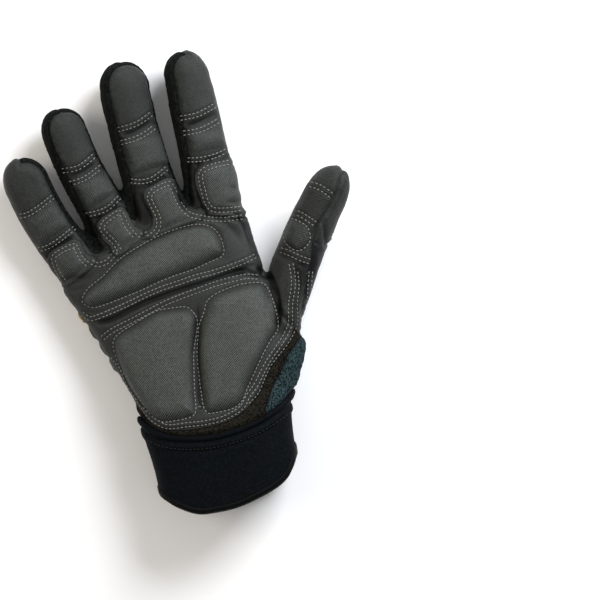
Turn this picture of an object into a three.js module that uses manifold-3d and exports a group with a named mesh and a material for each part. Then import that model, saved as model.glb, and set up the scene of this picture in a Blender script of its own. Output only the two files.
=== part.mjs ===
// Anti-vibration work glove for a right hand, lying palm up as it would on a bench.
// +X points to the thumb side, +Y to the fingertips and +Z out of the palm. The origin is under the
// middle of the palm, on the flat patch of the knuckle band that rests on the bench.
// All lengths are millimetres. Every cut-and-sewn panel is its own closed solid.
import * as THREE from "three";
import { mergeVertices } from "three/addons/utils/BufferGeometryUtils.js";
import Module from "manifold-3d";

const wasm = await Module();
wasm.setup();

// Sizes of the hand that the glove is cut for
const PALM_WIDTH = 100; // across the palm below the thumb crotch
const PALM_LENGTH = 100; // from the middle of the palm's heel seam to the crotch by the little finger
const PALM_DEPTH = 34; // through the ball of the thumb
const CUFF_LENGTH = 44; // from its seam to its bound edge, down the middle
const CUFF_WIDTH = 84;
const CUFF_DEPTH = 42;
const BACK_CLEARANCE = 1.1; // from the bench up to the unpadded back of the hand
const CUFF_LIFT = 1.1; // more clearance under the cuff
const SIDE_SEAM = 13; // height of the seam between palm and back over the bench

// Sheets, pads and trims
const WALL = 2; // leather, mesh and stretch panels
const CUFF_WALL = 3;
const GAP = 0.3; // between neighbouring pieces
const PALM_PAD = { height: 4.4, edge: 2, edgeWidth: 3.4 };
const FINGER_PAD = { height: 1.6 };
const KNUCKLE_BAND = { height: 1.5, valleyWidth: 1.8, channels: 4 };
const FLEX = { height: 2.1, valley: 1, valleyWidth: 1.1, channels: 4, length: 17 };
const PIPING = { height: 1.6, width: 2.4 };
const HEM = { height: 1.4, width: 8 };
const BINDING = { height: 1, width: 4 };
const STRAP = { height: 1.4, width: 26, length: 62, rimHeight: 0.5, rimWidth: 3.4 };
const TAG = { height: 0.8, length: 15, width: 6.5 };
const VENT = { width: 3.6, length: 18, rimWidth: 3, rimHeight: 1 };
const SIDE_BAND = 12; // height of the black strips between the fingers
const TIP_LENGTH = 15; // rounded end of a finger

// Digits. root is the start of the spine in shares of palm width and length, lean its direction in
// degrees from +Y at the root and at the tip, turn the share of the length where the lean changes,
// roll how far the palm side turns to the thumb, lift the height of the spine at the root and the
// tip, base the share where the digit leaves the hand, flex the share under its ribbed band and cap
// the length of its back cap.
const DIGITS = {
  index: { root: [0.283, 0.45], lean: [1, -2], turn: 0.46, length: 109, width: 28, depth: 22,
    roll: 28, lift: [13, 19], base: 0.2, flex: 0.26, cap: 32 },
  middle: { root: [0.03, 0.45], lean: [-14, 4], turn: 0.51, length: 112, width: 28.5, depth: 22.5,
    roll: 26, lift: [13, 18], base: 0.18, flex: 0.27, cap: 30 },
  ring: { root: [-0.18, 0.38], lean: [-24.5, -1], turn: 0.65, length: 104.5, width: 26, depth: 21.5,
    roll: 22, lift: [13, 19], base: 0.22, flex: 0.27, cap: 26 },
  little: { root: [-0.37, 0.2], lean: [-32, 1], turn: 0.67, length: 104, width: 26, depth: 20.5,
    roll: 6, lift: [13, 20], base: 0.34, flex: 0.42, cap: 21 },
  thumb: { root: [0.41, -0.26], lean: [22, 42], turn: 0.5, length: 117, width: 28, depth: 24,
    roll: -60, lift: [18, 31], base: -1, flex: 0, cap: 0 },
};
const { thumb: THUMB, ...FINGERS } = DIGITS;
const ROLL_SHARE = 0.3; // of the digit's length, over which it turns to its roll
const DIGIT_SECTIONS = [
  { along: 0, width: 1.04, depth: 0.98 },
  { along: 0.26, width: 1.05, depth: 1.02 },
  { along: 0.5, width: 1.02, depth: 1 },
  { along: 0.7, width: 1, depth: 1 },
];
const TIP_ANGLES = [0, 36, 68];
const DIGIT_SIDES = 10;
const DIGIT_SQUARENESS = 2.25;

// Cross-sections of the hand: along and the two edges in shares of palm length and width, lift and
// top in shares of palm depth over the unpadded back.
const HAND_SECTIONS = [
  { along: -0.36, left: -0.375, right: 0.57, lift: 0.02, top: 1.14 },
  { along: -0.2, left: -0.42, right: 0.63, lift: 0.01, top: 1.08 },
  { along: 0, left: -0.488, right: 0.535, lift: 0, top: 0.98 },
  { along: 0.2, left: -0.57, right: 0.49, lift: -0.01, top: 0.89 },
  { along: 0.36, left: -0.64, right: 0.468, lift: -0.02, top: 0.81 },
  { along: 0.49, left: -0.63, right: 0.455, lift: -0.03, top: 0.75 },
  { along: 0.54, left: -0.33, right: 0.452, lift: -0.03, top: 0.73 },
  { along: 0.67, left: -0.22, right: 0.42, lift: 0.1, top: 0.57 },
];
const HAND_SIDES = 16;
const HAND_SQUARENESS = 2.7;
const CUFF_SECTIONS = [
  { along: 1.3, width: 0.94, depth: 0.98 },
  { along: 0.5, width: 0.97, depth: 1 },
  { along: 0, width: 1, depth: 1 },
];
const CUFF_CENTRE = 0.05; // share of palm width
const CUFF_START = -0.53; // share of palm length

// Plan outlines, each point in shares of palm width and length
const OUTLINES = {
  crescent: [[-0.55, 0.29], [-0.44, 0.38], [-0.3, 0.46], [-0.14, 0.52], [0.02, 0.56], [0.17, 0.565],
    [0.26, 0.53], [0.28, 0.44], [0.23, 0.36], [0.02, 0.31], [-0.2, 0.265], [-0.4, 0.225],
    [-0.51, 0.235]],
  heel: [[-0.41, 0.02], [-0.33, 0.095], [-0.19, 0.135], [-0.05, 0.135], [0.035, 0.09], [0.045, 0],
    [0.005, -0.2], [-0.04, -0.38], [-0.11, -0.47], [-0.24, -0.465], [-0.34, -0.36], [-0.4, -0.18]],
  thenar: [[0.09, 0.1], [0.19, 0.175], [0.33, 0.195], [0.455, 0.17], [0.5, 0.08], [0.51, -0.04],
    [0.46, -0.145], [0.34, -0.29], [0.24, -0.43], [0.12, -0.475], [0.035, -0.455], [0.025, -0.36],
    [0.035, -0.2], [0.07, -0.03]],
  index_base: [[0.25, 0.83], [0.41, 0.85], [0.425, 0.72], [0.41, 0.6], [0.31, 0.61], [0.25, 0.67]],
  middle_base: [[-0.06, 0.78], [0.05, 0.82], [0.095, 0.73], [0.11, 0.62], [-0.01, 0.57], [-0.09, 0.63]],
  ring_base: [[-0.34, 0.64], [-0.27, 0.71], [-0.2, 0.68], [-0.16, 0.58], [-0.26, 0.53], [-0.34, 0.56]],
  little_base: [[-0.65, 0.56], [-0.57, 0.62], [-0.52, 0.55], [-0.46, 0.46], [-0.54, 0.37], [-0.62, 0.41]],
  thumb_patch: [[0.63, 0.39], [0.7, 0.46], [0.77, 0.44], [0.78, 0.37], [0.71, 0.31], [0.64, 0.32]],
};
// Rows of the finger patches that lie between two stitched folds: the shares where they begin and end
const FOLDED_PADS = { index: [0.49, 0.58], middle: [0.44, 0.6], ring: [0.45, 0.58], little: [0.56, 0.68] };
const CUFF_TOP = [[-1.1, 0.1], [-0.6, -0.2], [-0.38, -0.41], [-0.3, -0.5], [-0.18, -0.565],
  [0.03, -0.6], [0.25, -0.575], [0.42, -0.51], [0.5, -0.46], [0.66, -0.36], [0.9, -0.2]];
const CUFF_EDGE = [[-0.42, -0.6], [-0.345, -0.86], [-0.18, -0.995], [-0.03, -1.02], [0.14, -1.005],
  [0.36, -0.93], [0.46, -0.8], [0.54, -0.6]];
const BAND_LINE = [[-1.2, 0.24], [1.2, 0.24]]; // where the knuckle band meets the mesh
const PIPING_LINE = [[-1.2, -0.1], [-0.8, -0.13], [-0.45, -0.16], [0.05, -0.165], [0.27, -0.1], [0.42, 0.02],
  [0.7, 0.22], [1.2, 0.5]];
const HEEL_LINE = [[-1.1, 0.4], [-0.65, 0.1], [-0.45, -0.16], [-0.4, -0.32], [-0.33, -0.43],
  [-0.2, -0.51], [-0.02, -0.525], [0.14, -0.505], [0.23, -0.455], [0.31, -0.35], [0.42, -0.225],
  [0.56, -0.1], [0.7, 0.02], [0.9, 0.2]];
const TERRY_PALM = [[0.34, -0.5], [0.47, -0.34], [0.56, -0.23], [0.61, -0.1], [0.9, -0.1],
  [0.9, -0.7], [0.34, -0.7]];
const TERRY_BACK = [[0.27, -0.04], [0.4, -0.035], [0.57, 0], [0.66, 0.02], [0.95, 0], [0.9, -0.7],
  [0.335, -0.7], [0.335, -0.42], [0.27, -0.37]];
const THUMB_ZONE = [[0.5, 0.24], [0.49, 0.1], [0.53, -0.02], [0.61, -0.1], [0.95, -0.1],
  [1.4, 0.7], [1.1, 1], [0.7, 0.85]];
const THUMB_BACK_ZONE = [[0.5, 0.24], [0.37, 0.22], [0.27, -0.04], [0.4, -0.035], [0.57, 0],
  [0.66, 0.02], [0.95, 0], [1.4, 0.7], [1.1, 1], [0.7, 0.85]];
const WEB_NOTCHES = [[0.17, 0.42], [-0.07, 0.37], [-0.34, 0.31]]; // back ends of the black strips
const VENT_PLACE = [0.335, -0.48];
const TAG_PLACE = [-0.53, 0.19];
const STRAP_PLACE = [-0.26, -0.77];
const STRAP_LEAN = -9; // degrees
const FAR = 400;
const OVER = 22; // past the skin and pads of a digit
const WIDE_PLAN = [[-4, -4], [4, -4], [4, 4], [-4, 4]]; // a plan area far larger than the glove
const DIGIT_MARGIN = 3; // how far a zone reaches past a digit's sides
const BEFORE_BASE = 0.1; // share of a digit that a zone starts before its base, inside the hollow hand
const PAST_TIP = 1.15; // share of a digit where a zone ends, past its tip
const HALF_LAP = 1; // how far the two halves of a finger's palm side overlap at its middle
const NOTCH = { end: 3, web: 8 }; // widths of a black strip's notch in the back, at its end and at the web
const BAND_STEPS = 8; // pieces of a knuckle band line
const BAND_REACH = 0.8; // share of palm width to each side that a knuckle band line covers
const BULGE_ROOT = 0.1; // how deep the knuckle band's channels sink into its cloth
const FLEX_INSET = 1; // from a finger's sides to the ends of its ribbed band
const FOLDED_PAD_HALF = 0.36; // half a folded pad's width as a share of the finger's

const COLOURS = {
  leather: "#3a3d3c", cap: "#2f3134", strip: "#141516", mesh: "#b9acb0", rubber: "#232b28",
  neoprene: "#1c1c20", yellow: "#f2cf3a", thumb: "#1a1819", terry: "#1f2f2e", suede: "#2b261d",
  cuff: "#0e1216", trim: "#15181c", pad: "#3f4241",
};

const degrees = (angle) => (angle * Math.PI) / 180;
const heading = (lean) => new THREE.Vector3(Math.sin(degrees(lean)), Math.cos(degrees(lean)), 0);
const handPoint = ([x, y]) => new THREE.Vector2(x * PALM_WIDTH, y * PALM_LENGTH);

// A closed three.js geometry as a solid that can be joined and cut
function solidOf(geometry) {
  const bare = geometry.index ? geometry.toNonIndexed() : geometry.clone();
  for (const name of Object.keys(bare.attributes)) if (name !== "position") bare.deleteAttribute(name);
  const merged = mergeVertices(bare, 1e-4);
  return new wasm.Manifold(
    new wasm.Mesh({
      numProp: 3,
      vertProperties: merged.attributes.position.array,
      triVerts: new Uint32Array(merged.index.array),
    }),
  );
}
const joined = (...solids) => wasm.Manifold.union(solids.flat());

// One solid through a row of closed rings with as many points each. The second half of a ring is
// split the other way, so that the upper face of a slab and the lower face of the next one match.
function loft(rings) {
  const count = rings[0].length;
  const positions = rings.flat().flatMap((p) => p.toArray());
  const faces = [];
  for (let row = 0; row + 1 < rings.length; row++)
    for (let i = 0; i < count; i++) {
      const a = row * count + i;
      const b = row * count + ((i + 1) % count);
      if (i < count / 2) faces.push(a, b, b + count, a, b + count, a + count);
      else faces.push(a, b, a + count, b, b + count, a + count);
    }
  for (const [row, turned] of [[0, true], [rings.length - 1, false]]) {
    const centre = positions.length / 3;
    const middle = rings[row].reduce((sum, p) => sum.add(p), new THREE.Vector3()).divideScalar(count);
    positions.push(...middle.toArray());
    for (let i = 0; i < count; i++) {
      const a = row * count + i;
      const b = row * count + ((i + 1) % count);
      faces.push(...(turned ? [b, a, centre] : [a, b, centre]));
    }
  }
  const geometry = new THREE.BufferGeometry();
  geometry.setAttribute("position", new THREE.Float32BufferAttribute(positions, 3));
  geometry.setIndex(faces);
  return solidOf(geometry);
}

// A rounded ring round a centre, with its half sizes across and up
function ring(centre, across, up, halfWidth, halfDepth, sides, squareness) {
  const power = 2 / squareness;
  return Array.from({ length: sides }, (_, i) => {
    const angle = (-2 * Math.PI * (i + 0.5)) / sides;
    const c = Math.cos(angle);
    const s = Math.sin(angle);
    return centre
      .clone()
      .addScaledVector(across, Math.sign(c) * Math.abs(c) ** power * halfWidth)
      .addScaledVector(up, Math.sign(s) * Math.abs(s) ** power * halfDepth);
  });
}

// Where a digit's spine is at a share of its length, with its direction and its turned frame
function spine(digit, share) {
  const start = handPoint(digit.root);
  const root = new THREE.Vector3(start.x, start.y, 0);
  const bend = root.clone().addScaledVector(heading(digit.lean[0]), digit.length * digit.turn);
  const tip = bend.clone().addScaledVector(heading(digit.lean[1]), digit.length * (1 - digit.turn));
  const line = new THREE.QuadraticBezierCurve3(root, bend, tip);
  const inside = THREE.MathUtils.clamp(share, 0, 1);
  const point = line.getPointAt(inside);
  const ahead = line.getTangentAt(inside);
  point.addScaledVector(ahead, digit.length * (share - inside));
  point.z = THREE.MathUtils.lerp(...digit.lift, Math.max(share, 0) ** 2.5);
  const side = new THREE.Vector3(ahead.y, -ahead.x, 0);
  const upright = new THREE.Vector3(0, 0, 1);
  const roll = degrees(digit.roll) * THREE.MathUtils.smoothstep(share, digit.base, digit.base + ROLL_SHARE);
  return {
    point,
    ahead,
    across: side.clone().multiplyScalar(Math.cos(roll)).addScaledVector(upright, -Math.sin(roll)),
    up: upright.clone().multiplyScalar(Math.cos(roll)).addScaledVector(side, Math.sin(roll)),
  };
}

function digitBody(digit, offset) {
  const rows = DIGIT_SECTIONS.map((row) => ({ ...row, side: 1, reach: 0 }));
  for (const angle of TIP_ANGLES) {
    const side = Math.cos(degrees(angle));
    const reach = Math.sin(degrees(angle));
    const along = 1 - (TIP_LENGTH * (1 - reach)) / digit.length;
    rows.push({ along, width: side, depth: side, side, reach });
  }
  return loft(
    rows.map(({ along, width, depth, side, reach }) => {
      const { point, ahead, across, up } = spine(digit, along);
      const halfWidth = (digit.width / 2) * width + offset * side;
      const halfDepth = (digit.depth / 2) * depth + offset * side;
      point.addScaledVector(ahead, offset * reach);
      return ring(point, across, up, halfWidth, halfDepth, DIGIT_SIDES, DIGIT_SQUARENESS);
    }),
  );
}

function handBody(offset) {
  const rows = CUFF_SECTIONS.map(({ along, width, depth }) => ({
    y: CUFF_START * PALM_LENGTH - along * CUFF_LENGTH,
    left: CUFF_CENTRE * PALM_WIDTH - (width * CUFF_WIDTH) / 2,
    right: CUFF_CENTRE * PALM_WIDTH + (width * CUFF_WIDTH) / 2,
    bottom: BACK_CLEARANCE + CUFF_LIFT,
    top: BACK_CLEARANCE + CUFF_LIFT + depth * CUFF_DEPTH,
  }));
  for (const { along, left, right, lift, top } of HAND_SECTIONS)
    rows.push({
      y: along * PALM_LENGTH,
      left: left * PALM_WIDTH,
      right: right * PALM_WIDTH,
      bottom: BACK_CLEARANCE + lift * PALM_DEPTH,
      top: BACK_CLEARANCE + top * PALM_DEPTH,
    });
  rows.at(-1).y += offset;
  const across = new THREE.Vector3(1, 0, 0);
  const up = new THREE.Vector3(0, 0, 1);
  return loft(
    rows.map(({ y, left, right, bottom, top }) => {
      const centre = new THREE.Vector3((left + right) / 2, y, (bottom + top) / 2);
      const halfWidth = (right - left) / 2 + offset;
      const halfDepth = (top - bottom) / 2 + offset;
      return ring(centre, across, up, halfWidth, halfDepth, HAND_SIDES, HAND_SQUARENESS);
    }),
  );
}

// The whole filled glove grown by an offset, flattened where it lies on the bench. A sheet is the
// difference of two of these.
const grown = new Map();
function body(offset) {
  const key = offset.toFixed(3);
  if (!grown.has(key)) {
    const digits = Object.values(DIGITS).map((digit) => digitBody(digit, offset));
    grown.set(key, joined(handBody(offset), digits).intersect(everywhere(0)));
  }
  return grown.get(key);
}
const sheet = (low, high) => body(high).subtract(body(low));

// A plan outline as an upright prism
function prism(points, low = -FAR, high = FAR) {
  const options = { depth: high - low, bevelEnabled: false };
  const geometry = new THREE.ExtrudeGeometry(new THREE.Shape(points), options);
  return solidOf(geometry.translate(0, 0, low));
}
const everywhere = (low, high) => prism(WIDE_PLAN.map(handPoint), low, high);

// An outline moved outwards, or inwards where the distance is below zero
function spread(points, distance) {
  const sign = Math.sign(THREE.ShapeUtils.area(points)) || 1;
  return points.map((point, i) => {
    const before = point.clone().sub(points[(i + points.length - 1) % points.length]).normalize();
    const after = points[(i + 1) % points.length].clone().sub(point).normalize();
    const scale = (sign * distance) / Math.max(1 + before.dot(after), 0.3);
    return new THREE.Vector2(
      point.x + (before.y + after.y) * scale,
      point.y - (before.x + after.x) * scale,
    );
  });
}
// Height of a plan curve over a place across the hand
function heightAt(curve, x) {
  const points = curve.getPoints(60);
  const after = points.findIndex((p) => p.x >= x);
  const [a, b] = [points[Math.max(after - 1, 0)], points.at(after)];
  return a.x === b.x ? a.y : THREE.MathUtils.mapLinear(x, a.x, b.x, a.y, b.y);
}
// A round-ended slot outline round a place, its length turned from +X in degrees
function slot(place, width, length, lean, steps = 8) {
  const centre = handPoint(place);
  const points = [];
  for (const end of [1, -1])
    for (let i = 0; i <= steps; i++) {
      const angle = Math.PI * (i / steps - 0.5) + (end < 0 ? Math.PI : 0);
      points.push(new THREE.Vector2(
        (end * (length - width)) / 2 + (Math.cos(angle) * width) / 2,
        (Math.sin(angle) * width) / 2,
      ));
    }
  return points.map((p) => p.rotateAround(new THREE.Vector2(), degrees(lean)).add(centre));
}

// The plan area on the elbow's side of a line that runs from the little finger's side to the thumb's
function below(line, distance, steps = 12) {
  const curve = new THREE.SplineCurve(line.map(handPoint)).getPoints(steps);
  const moved = curve.map((p) => new THREE.Vector2(p.x, p.y + distance));
  return [new THREE.Vector2(moved[0].x, -FAR), ...moved, new THREE.Vector2(moved.at(-1).x, -FAR)].reverse();
}

// A slab that follows a digit: its reach across, up and along, in millimetres and shares
function ribbon(digit, [left, right], [low, high], [from, to], steps = 5, bias = 1.5) {
  const rings = [];
  for (let i = 0; i <= steps; i++) {
    const { point, across, up } = spine(digit, THREE.MathUtils.lerp(from, to, (i / steps) ** bias));
    rings.push(
      [[left, low], [left, high], [right, high], [right, low]].map(([a, b]) =>
        point.clone().addScaledVector(across, a).addScaledVector(up, b)),
    );
  }
  return loft(rings);
}
const reachOf = (digit) => digit.width / 2 + DIGIT_MARGIN;
const spanOf = (digit) => [digit.base - BEFORE_BASE, PAST_TIP];

// Everything on the palm's side of the seams. A finger's seam runs over the black strip on its inner
// sides, and under the leather on the outer sides of the first and last finger.
function palmSide(extra) {
  const half = SIDE_BAND / 2;
  const outline = [[-1.5, -1.5], [1.5, -1.5], [1.5, 0.3], [0.5, 0.6], [-0.25, 0.56], [-0.72, 0.36],
    [-1.5, 0.3]].map(handPoint);
  const parts = [prism(outline, SIDE_SEAM - extra)];
  for (const [name, finger] of Object.entries(FINGERS)) {
    const left = name === "little" ? -half : half;
    const right = name === "index" ? -half : half;
    const reach = reachOf(finger) + extra;
    const span = spanOf(finger);
    parts.push(ribbon(finger, [-reach, HALF_LAP], [left - extra, OVER], span));
    parts.push(ribbon(finger, [-HALF_LAP, reach], [right - extra, OVER], span));
  }
  return joined(parts);
}

// The black strip between two fingers, with its notch in the back of the hand
function stripZone(right, left, notch, extra) {
  const half = SIDE_BAND / 2 + extra;
  const legs = [
    ribbon(right, [-reachOf(right) - extra, extra], [-half, half], spanOf(right)),
    ribbon(left, [-extra, reachOf(left) + extra], [-half, half], spanOf(left)),
  ];
  const [a, b] = [spine(right, right.base + 0.1).point, spine(left, left.base + 0.1).point];
  const web = a.lerp(b, 0.5);
  const point = handPoint(notch);
  const shape = [[point, -NOTCH.end], [point, NOTCH.end], [web, NOTCH.web], [web, -NOTCH.web]]
    .map(([place, width]) => new THREE.Vector2(place.x + width / 2, place.y));
  return joined(legs, prism(spread(shape, extra), -FAR, SIDE_SEAM + half));
}

function capZone(finger, extra) {
  const from = 1 - finger.cap / finger.length - extra / finger.length;
  const reach = reachOf(finger) + extra;
  return ribbon(finger, [-reach, reach], [-OVER, SIDE_BAND], [from, PAST_TIP]);
}

const plan = (points, extra) => spread(points.map(handPoint), extra);
const across = (line, distance) => prism(below(line, distance));

const group = new THREE.Group();
// Adds the largest body of a solid as a named mesh; slivers that a cut leaves elsewhere are dropped
function add(name, solid, colour, roughness = 0.8) {
  const [largest] = solid.decompose().sort((a, b) => b.volume() - a.volume());
  const data = largest.getMesh();
  const geometry = new THREE.BufferGeometry();
  geometry.setAttribute("position", new THREE.Float32BufferAttribute(data.vertProperties, 3));
  geometry.setIndex(new THREE.BufferAttribute(data.triVerts, 1));
  const material = new THREE.MeshStandardMaterial({ color: colour, roughness, metalness: 0 });
  const mesh = new THREE.Mesh(geometry, material);
  mesh.name = name;
  group.add(mesh);
}

// Panels of the hand and the digits, in the order in which each takes its zone of the skin. The next
// ones keep a gap to it.
const names = Object.keys(FINGERS);
const skin = sheet(-WALL, 0);
const ventHole = prism(slot(VENT_PLACE, VENT.width, VENT.length, 90), -FAR, SIDE_SEAM);
let taken = joined(across(CUFF_TOP, GAP), ventHole);
function panel(name, zone, colour, roughness, cloth = skin) {
  add(name, cloth.intersect(zone(0)).subtract(taken), colour, roughness);
  taken = taken.add(zone(GAP));
}
names.slice(0, -1).forEach((name, i) => {
  const [right, left] = [FINGERS[name], FINGERS[names[i + 1]]];
  panel(`${name}_strip`, (extra) => stripZone(right, left, WEB_NOTCHES[i], extra), COLOURS.strip, 0.9);
});
panel("thumb_front", (extra) => ribbon(THUMB, [-OVER, OVER], [-extra, 2 * OVER], [-BEFORE_BASE, PAST_TIP])
  .intersect(prism(plan(THUMB_ZONE, extra))), COLOURS.leather, 0.7);
panel("thumb_back", (extra) => joined(
  prism(plan(THUMB_ZONE, extra)),
  prism(plan(THUMB_BACK_ZONE, extra), -FAR, SIDE_SEAM + extra),
), COLOURS.thumb, 0.55);
panel("terry_patch", (extra) => joined(
  prism(plan(TERRY_PALM, extra)),
  prism(plan(TERRY_BACK, extra), -FAR, SIDE_SEAM + extra),
), COLOURS.terry, 0.95);
panel("heel_strip", (extra) => palmSide(extra).intersect(across(HEEL_LINE, extra)), COLOURS.suede, 0.95);
panel("palm_leather", palmSide, COLOURS.leather, 0.7);
for (const name of names) panel(`${name}_cap`, (extra) => capZone(FINGERS[name], extra), COLOURS.cap, 0.7);
const beforeBand = taken;

// The knuckle band's lines fan out from the mesh (share 1) to the piping (share 0)
const bandLines = [PIPING_LINE, BAND_LINE].map((line) => new THREE.SplineCurve(line.map(handPoint)));
function fan(share, distance) {
  const points = Array.from({ length: BAND_STEPS + 1 }, (_, i) => {
    const x = THREE.MathUtils.lerp(-BAND_REACH, BAND_REACH, i / BAND_STEPS) * PALM_WIDTH;
    const [low, high] = bandLines.map((line) => heightAt(line, x));
    return new THREE.Vector2(x, THREE.MathUtils.lerp(low, high, share) + distance);
  });
  const ends = [new THREE.Vector2(PALM_WIDTH, -FAR), new THREE.Vector2(-PALM_WIDTH, -FAR)];
  return prism([...points, ...ends].reverse());
}
const bulge = sheet(-BULGE_ROOT, KNUCKLE_BAND.height);
const channels = Array.from({ length: KNUCKLE_BAND.channels }, (_, i) => {
  const margin = i === 0 ? PIPING.width / 2 + GAP : KNUCKLE_BAND.valleyWidth / 2;
  const high = i + 1 === KNUCKLE_BAND.channels ? 0 : -KNUCKLE_BAND.valleyWidth / 2;
  return bulge.intersect(fan((i + 1) / KNUCKLE_BAND.channels, high))
    .subtract(fan(i / KNUCKLE_BAND.channels, margin));
});
panel("knuckle_band", (extra) => fan(1, extra).subtract(fan(0, -extra)), COLOURS.neoprene, 0.9,
  joined(skin, channels));
panel("back_panel", (extra) => fan(0, extra), COLOURS.neoprene, 0.9);
panel("back_mesh", () => everywhere(), COLOURS.mesh, 0.95);

// Trims of the back
for (const name of names) {
  const finger = FINGERS[name];
  const side = finger.width / 2 - FLEX_INSET;
  const strip = (from, to) => ribbon(finger, [-side, side], [-OVER, -SIDE_BAND / 2 - GAP],
    [from, to].map((along) => finger.flex + along / finger.length), 1);
  const grooves = Array.from({ length: FLEX.channels - 1 }, (_, i) => {
    const middle = ((i + 1) / FLEX.channels - 0.5) * FLEX.length;
    return strip(middle - FLEX.valleyWidth / 2, middle + FLEX.valleyWidth / 2);
  });
  add(`${name}_flex`, sheet(GAP, GAP + FLEX.height).intersect(strip(-FLEX.length / 2, FLEX.length / 2))
    .subtract(joined(grooves).subtract(body(GAP + FLEX.valley))), COLOURS.rubber, 0.6);
}
add("piping", sheet(GAP, GAP + PIPING.height).intersect(fan(0, PIPING.width / 2))
  .subtract(fan(0, -PIPING.width / 2)).subtract(beforeBand), COLOURS.yellow, 0.5);
const tagLow = KNUCKLE_BAND.height + GAP;
add("side_tag", sheet(tagLow, tagLow + TAG.height)
  .intersect(prism(slot(TAG_PLACE, TAG.width, TAG.length, 0, 2))).subtract(beforeBand), COLOURS.yellow, 0.6);
add("vent_rim", sheet(GAP, GAP + VENT.rimHeight)
  .intersect(prism(slot(VENT_PLACE, VENT.width + 2 * VENT.rimWidth, VENT.length + 2 * VENT.rimWidth, 90),
    -FAR, SIDE_SEAM))
  .subtract(ventHole).subtract(across(CUFF_TOP, GAP)), COLOURS.trim, 0.7);

// Cuff with its seam cord, its bound edge and the closing strap
const cuffEdge = new THREE.SplineCurve(CUFF_EDGE.map(handPoint)).getPoints(12);
const edgeCorners = [[1.5, -0.6], [1.5, 2.5], [-1.5, 2.5], [-1.5, -0.6]].map(handPoint);
const cuffKept = (inset) => prism(
  [...cuffEdge, ...edgeCorners].map((point) => new THREE.Vector2(point.x, point.y + inset)),
);
const cuffBody = across(CUFF_TOP, 0).intersect(cuffKept(0));
add("cuff", sheet(-CUFF_WALL, 0).intersect(cuffBody), COLOURS.cuff, 0.95);
add("cuff_hem", sheet(GAP, GAP + HEM.height).intersect(cuffBody).subtract(across(CUFF_TOP, -HEM.width)),
  COLOURS.trim, 0.9);
add("cuff_binding", sheet(GAP, GAP + BINDING.height).intersect(cuffBody).subtract(cuffKept(BINDING.width)),
  COLOURS.trim, 0.8);
const strapRoom = across(CUFF_TOP, -HEM.width - GAP).intersect(cuffKept(BINDING.width + GAP))
  .intersect(everywhere(-FAR, SIDE_SEAM));
const strapPlan = (inset) =>
  prism(slot(STRAP_PLACE, STRAP.width - 2 * inset, STRAP.length - 2 * inset, STRAP_LEAN));
add("wrist_strap", sheet(GAP, GAP + STRAP.height).intersect(strapPlan(STRAP.rimWidth + GAP))
  .intersect(strapRoom), COLOURS.cuff, 0.9);
add("strap_rim", sheet(GAP, GAP + STRAP.height + STRAP.rimHeight).intersect(strapPlan(0))
  .subtract(strapPlan(STRAP.rimWidth)).intersect(strapRoom), COLOURS.trim, 0.7);

// Pads of the palm and the fingers, each a low step at its stitched edge and a high middle
function pad(name, { height, edge = height, edgeWidth = 0 }, zone) {
  const steps = [sheet(GAP, GAP + height).intersect(zone(edgeWidth))];
  if (edgeWidth) steps.push(sheet(GAP, GAP + edge).intersect(zone(0)));
  add(name, joined(steps).intersect(everywhere(SIDE_SEAM)), COLOURS.pad, 0.7);
}
for (const [name, outline] of Object.entries(OUTLINES)) {
  const points = outline.map(handPoint);
  const size = ["crescent", "heel", "thenar"].includes(name) ? PALM_PAD : FINGER_PAD;
  pad(`${name}_pad`, size, (inset) => prism(spread(points, -inset)));
}
for (const [name, [from, to]] of Object.entries(FOLDED_PADS)) {
  const finger = FINGERS[name];
  const half = finger.width * FOLDED_PAD_HALF;
  pad(`${name}_middle_pad`, FINGER_PAD, (inset) => ribbon(finger, [inset - half, half - inset],
    [0, OVER], [from + inset / finger.length, to - inset / finger.length], 1));
}
export default group;
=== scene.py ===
"""Looks of a padded anti-vibration work glove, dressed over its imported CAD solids.

The glove lies palm up. +X points to the thumb side, +Y to the fingertips and +Z out of the palm.
Tables and mesh work are in millimetres, and objects are made in metres. One skin is lofted from
the hand's sections, cut into its sewn panels, given its padding, folds and seams, and each panel
then gets its wall. Threads, cords and tapes are laid on the finished panels.
"""

import logging  # noqa: E402
import math  # noqa: E402
from collections.abc import Callable, Sequence  # noqa: E402
from dataclasses import dataclass, field  # noqa: E402
from enum import Enum  # noqa: E402
from typing import ClassVar  # noqa: E402

import bpy  # noqa: E402
import numpy as np  # noqa: E402
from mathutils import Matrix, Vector  # noqa: E402
from mathutils.bvhtree import BVHTree  # noqa: E402


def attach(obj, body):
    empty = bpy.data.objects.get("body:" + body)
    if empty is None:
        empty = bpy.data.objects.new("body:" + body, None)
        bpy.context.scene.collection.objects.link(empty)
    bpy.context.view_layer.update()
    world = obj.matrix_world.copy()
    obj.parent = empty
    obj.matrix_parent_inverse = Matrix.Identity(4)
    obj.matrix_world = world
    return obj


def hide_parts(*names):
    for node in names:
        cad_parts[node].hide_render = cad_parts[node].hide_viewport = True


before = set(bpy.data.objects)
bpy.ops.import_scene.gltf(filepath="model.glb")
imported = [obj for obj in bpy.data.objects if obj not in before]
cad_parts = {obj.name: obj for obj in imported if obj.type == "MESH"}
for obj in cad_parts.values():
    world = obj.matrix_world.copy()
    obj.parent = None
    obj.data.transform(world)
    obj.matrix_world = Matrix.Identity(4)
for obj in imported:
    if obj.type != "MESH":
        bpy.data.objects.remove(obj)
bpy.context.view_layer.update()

log = logging.getLogger("glove")
MM = 0.001
LEAST = 1e-9  # keeps a division away from zero
BATCH = 2_000_000  # pairs of points and edges that are worked out at once
Points = Sequence[tuple[float, float]]
Size = tuple[float, float]


class Side(Enum):
    """Which side of the glove a line or a piece lies on."""

    PALM = 1
    BACK = -1


# Small geometry helpers


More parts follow.
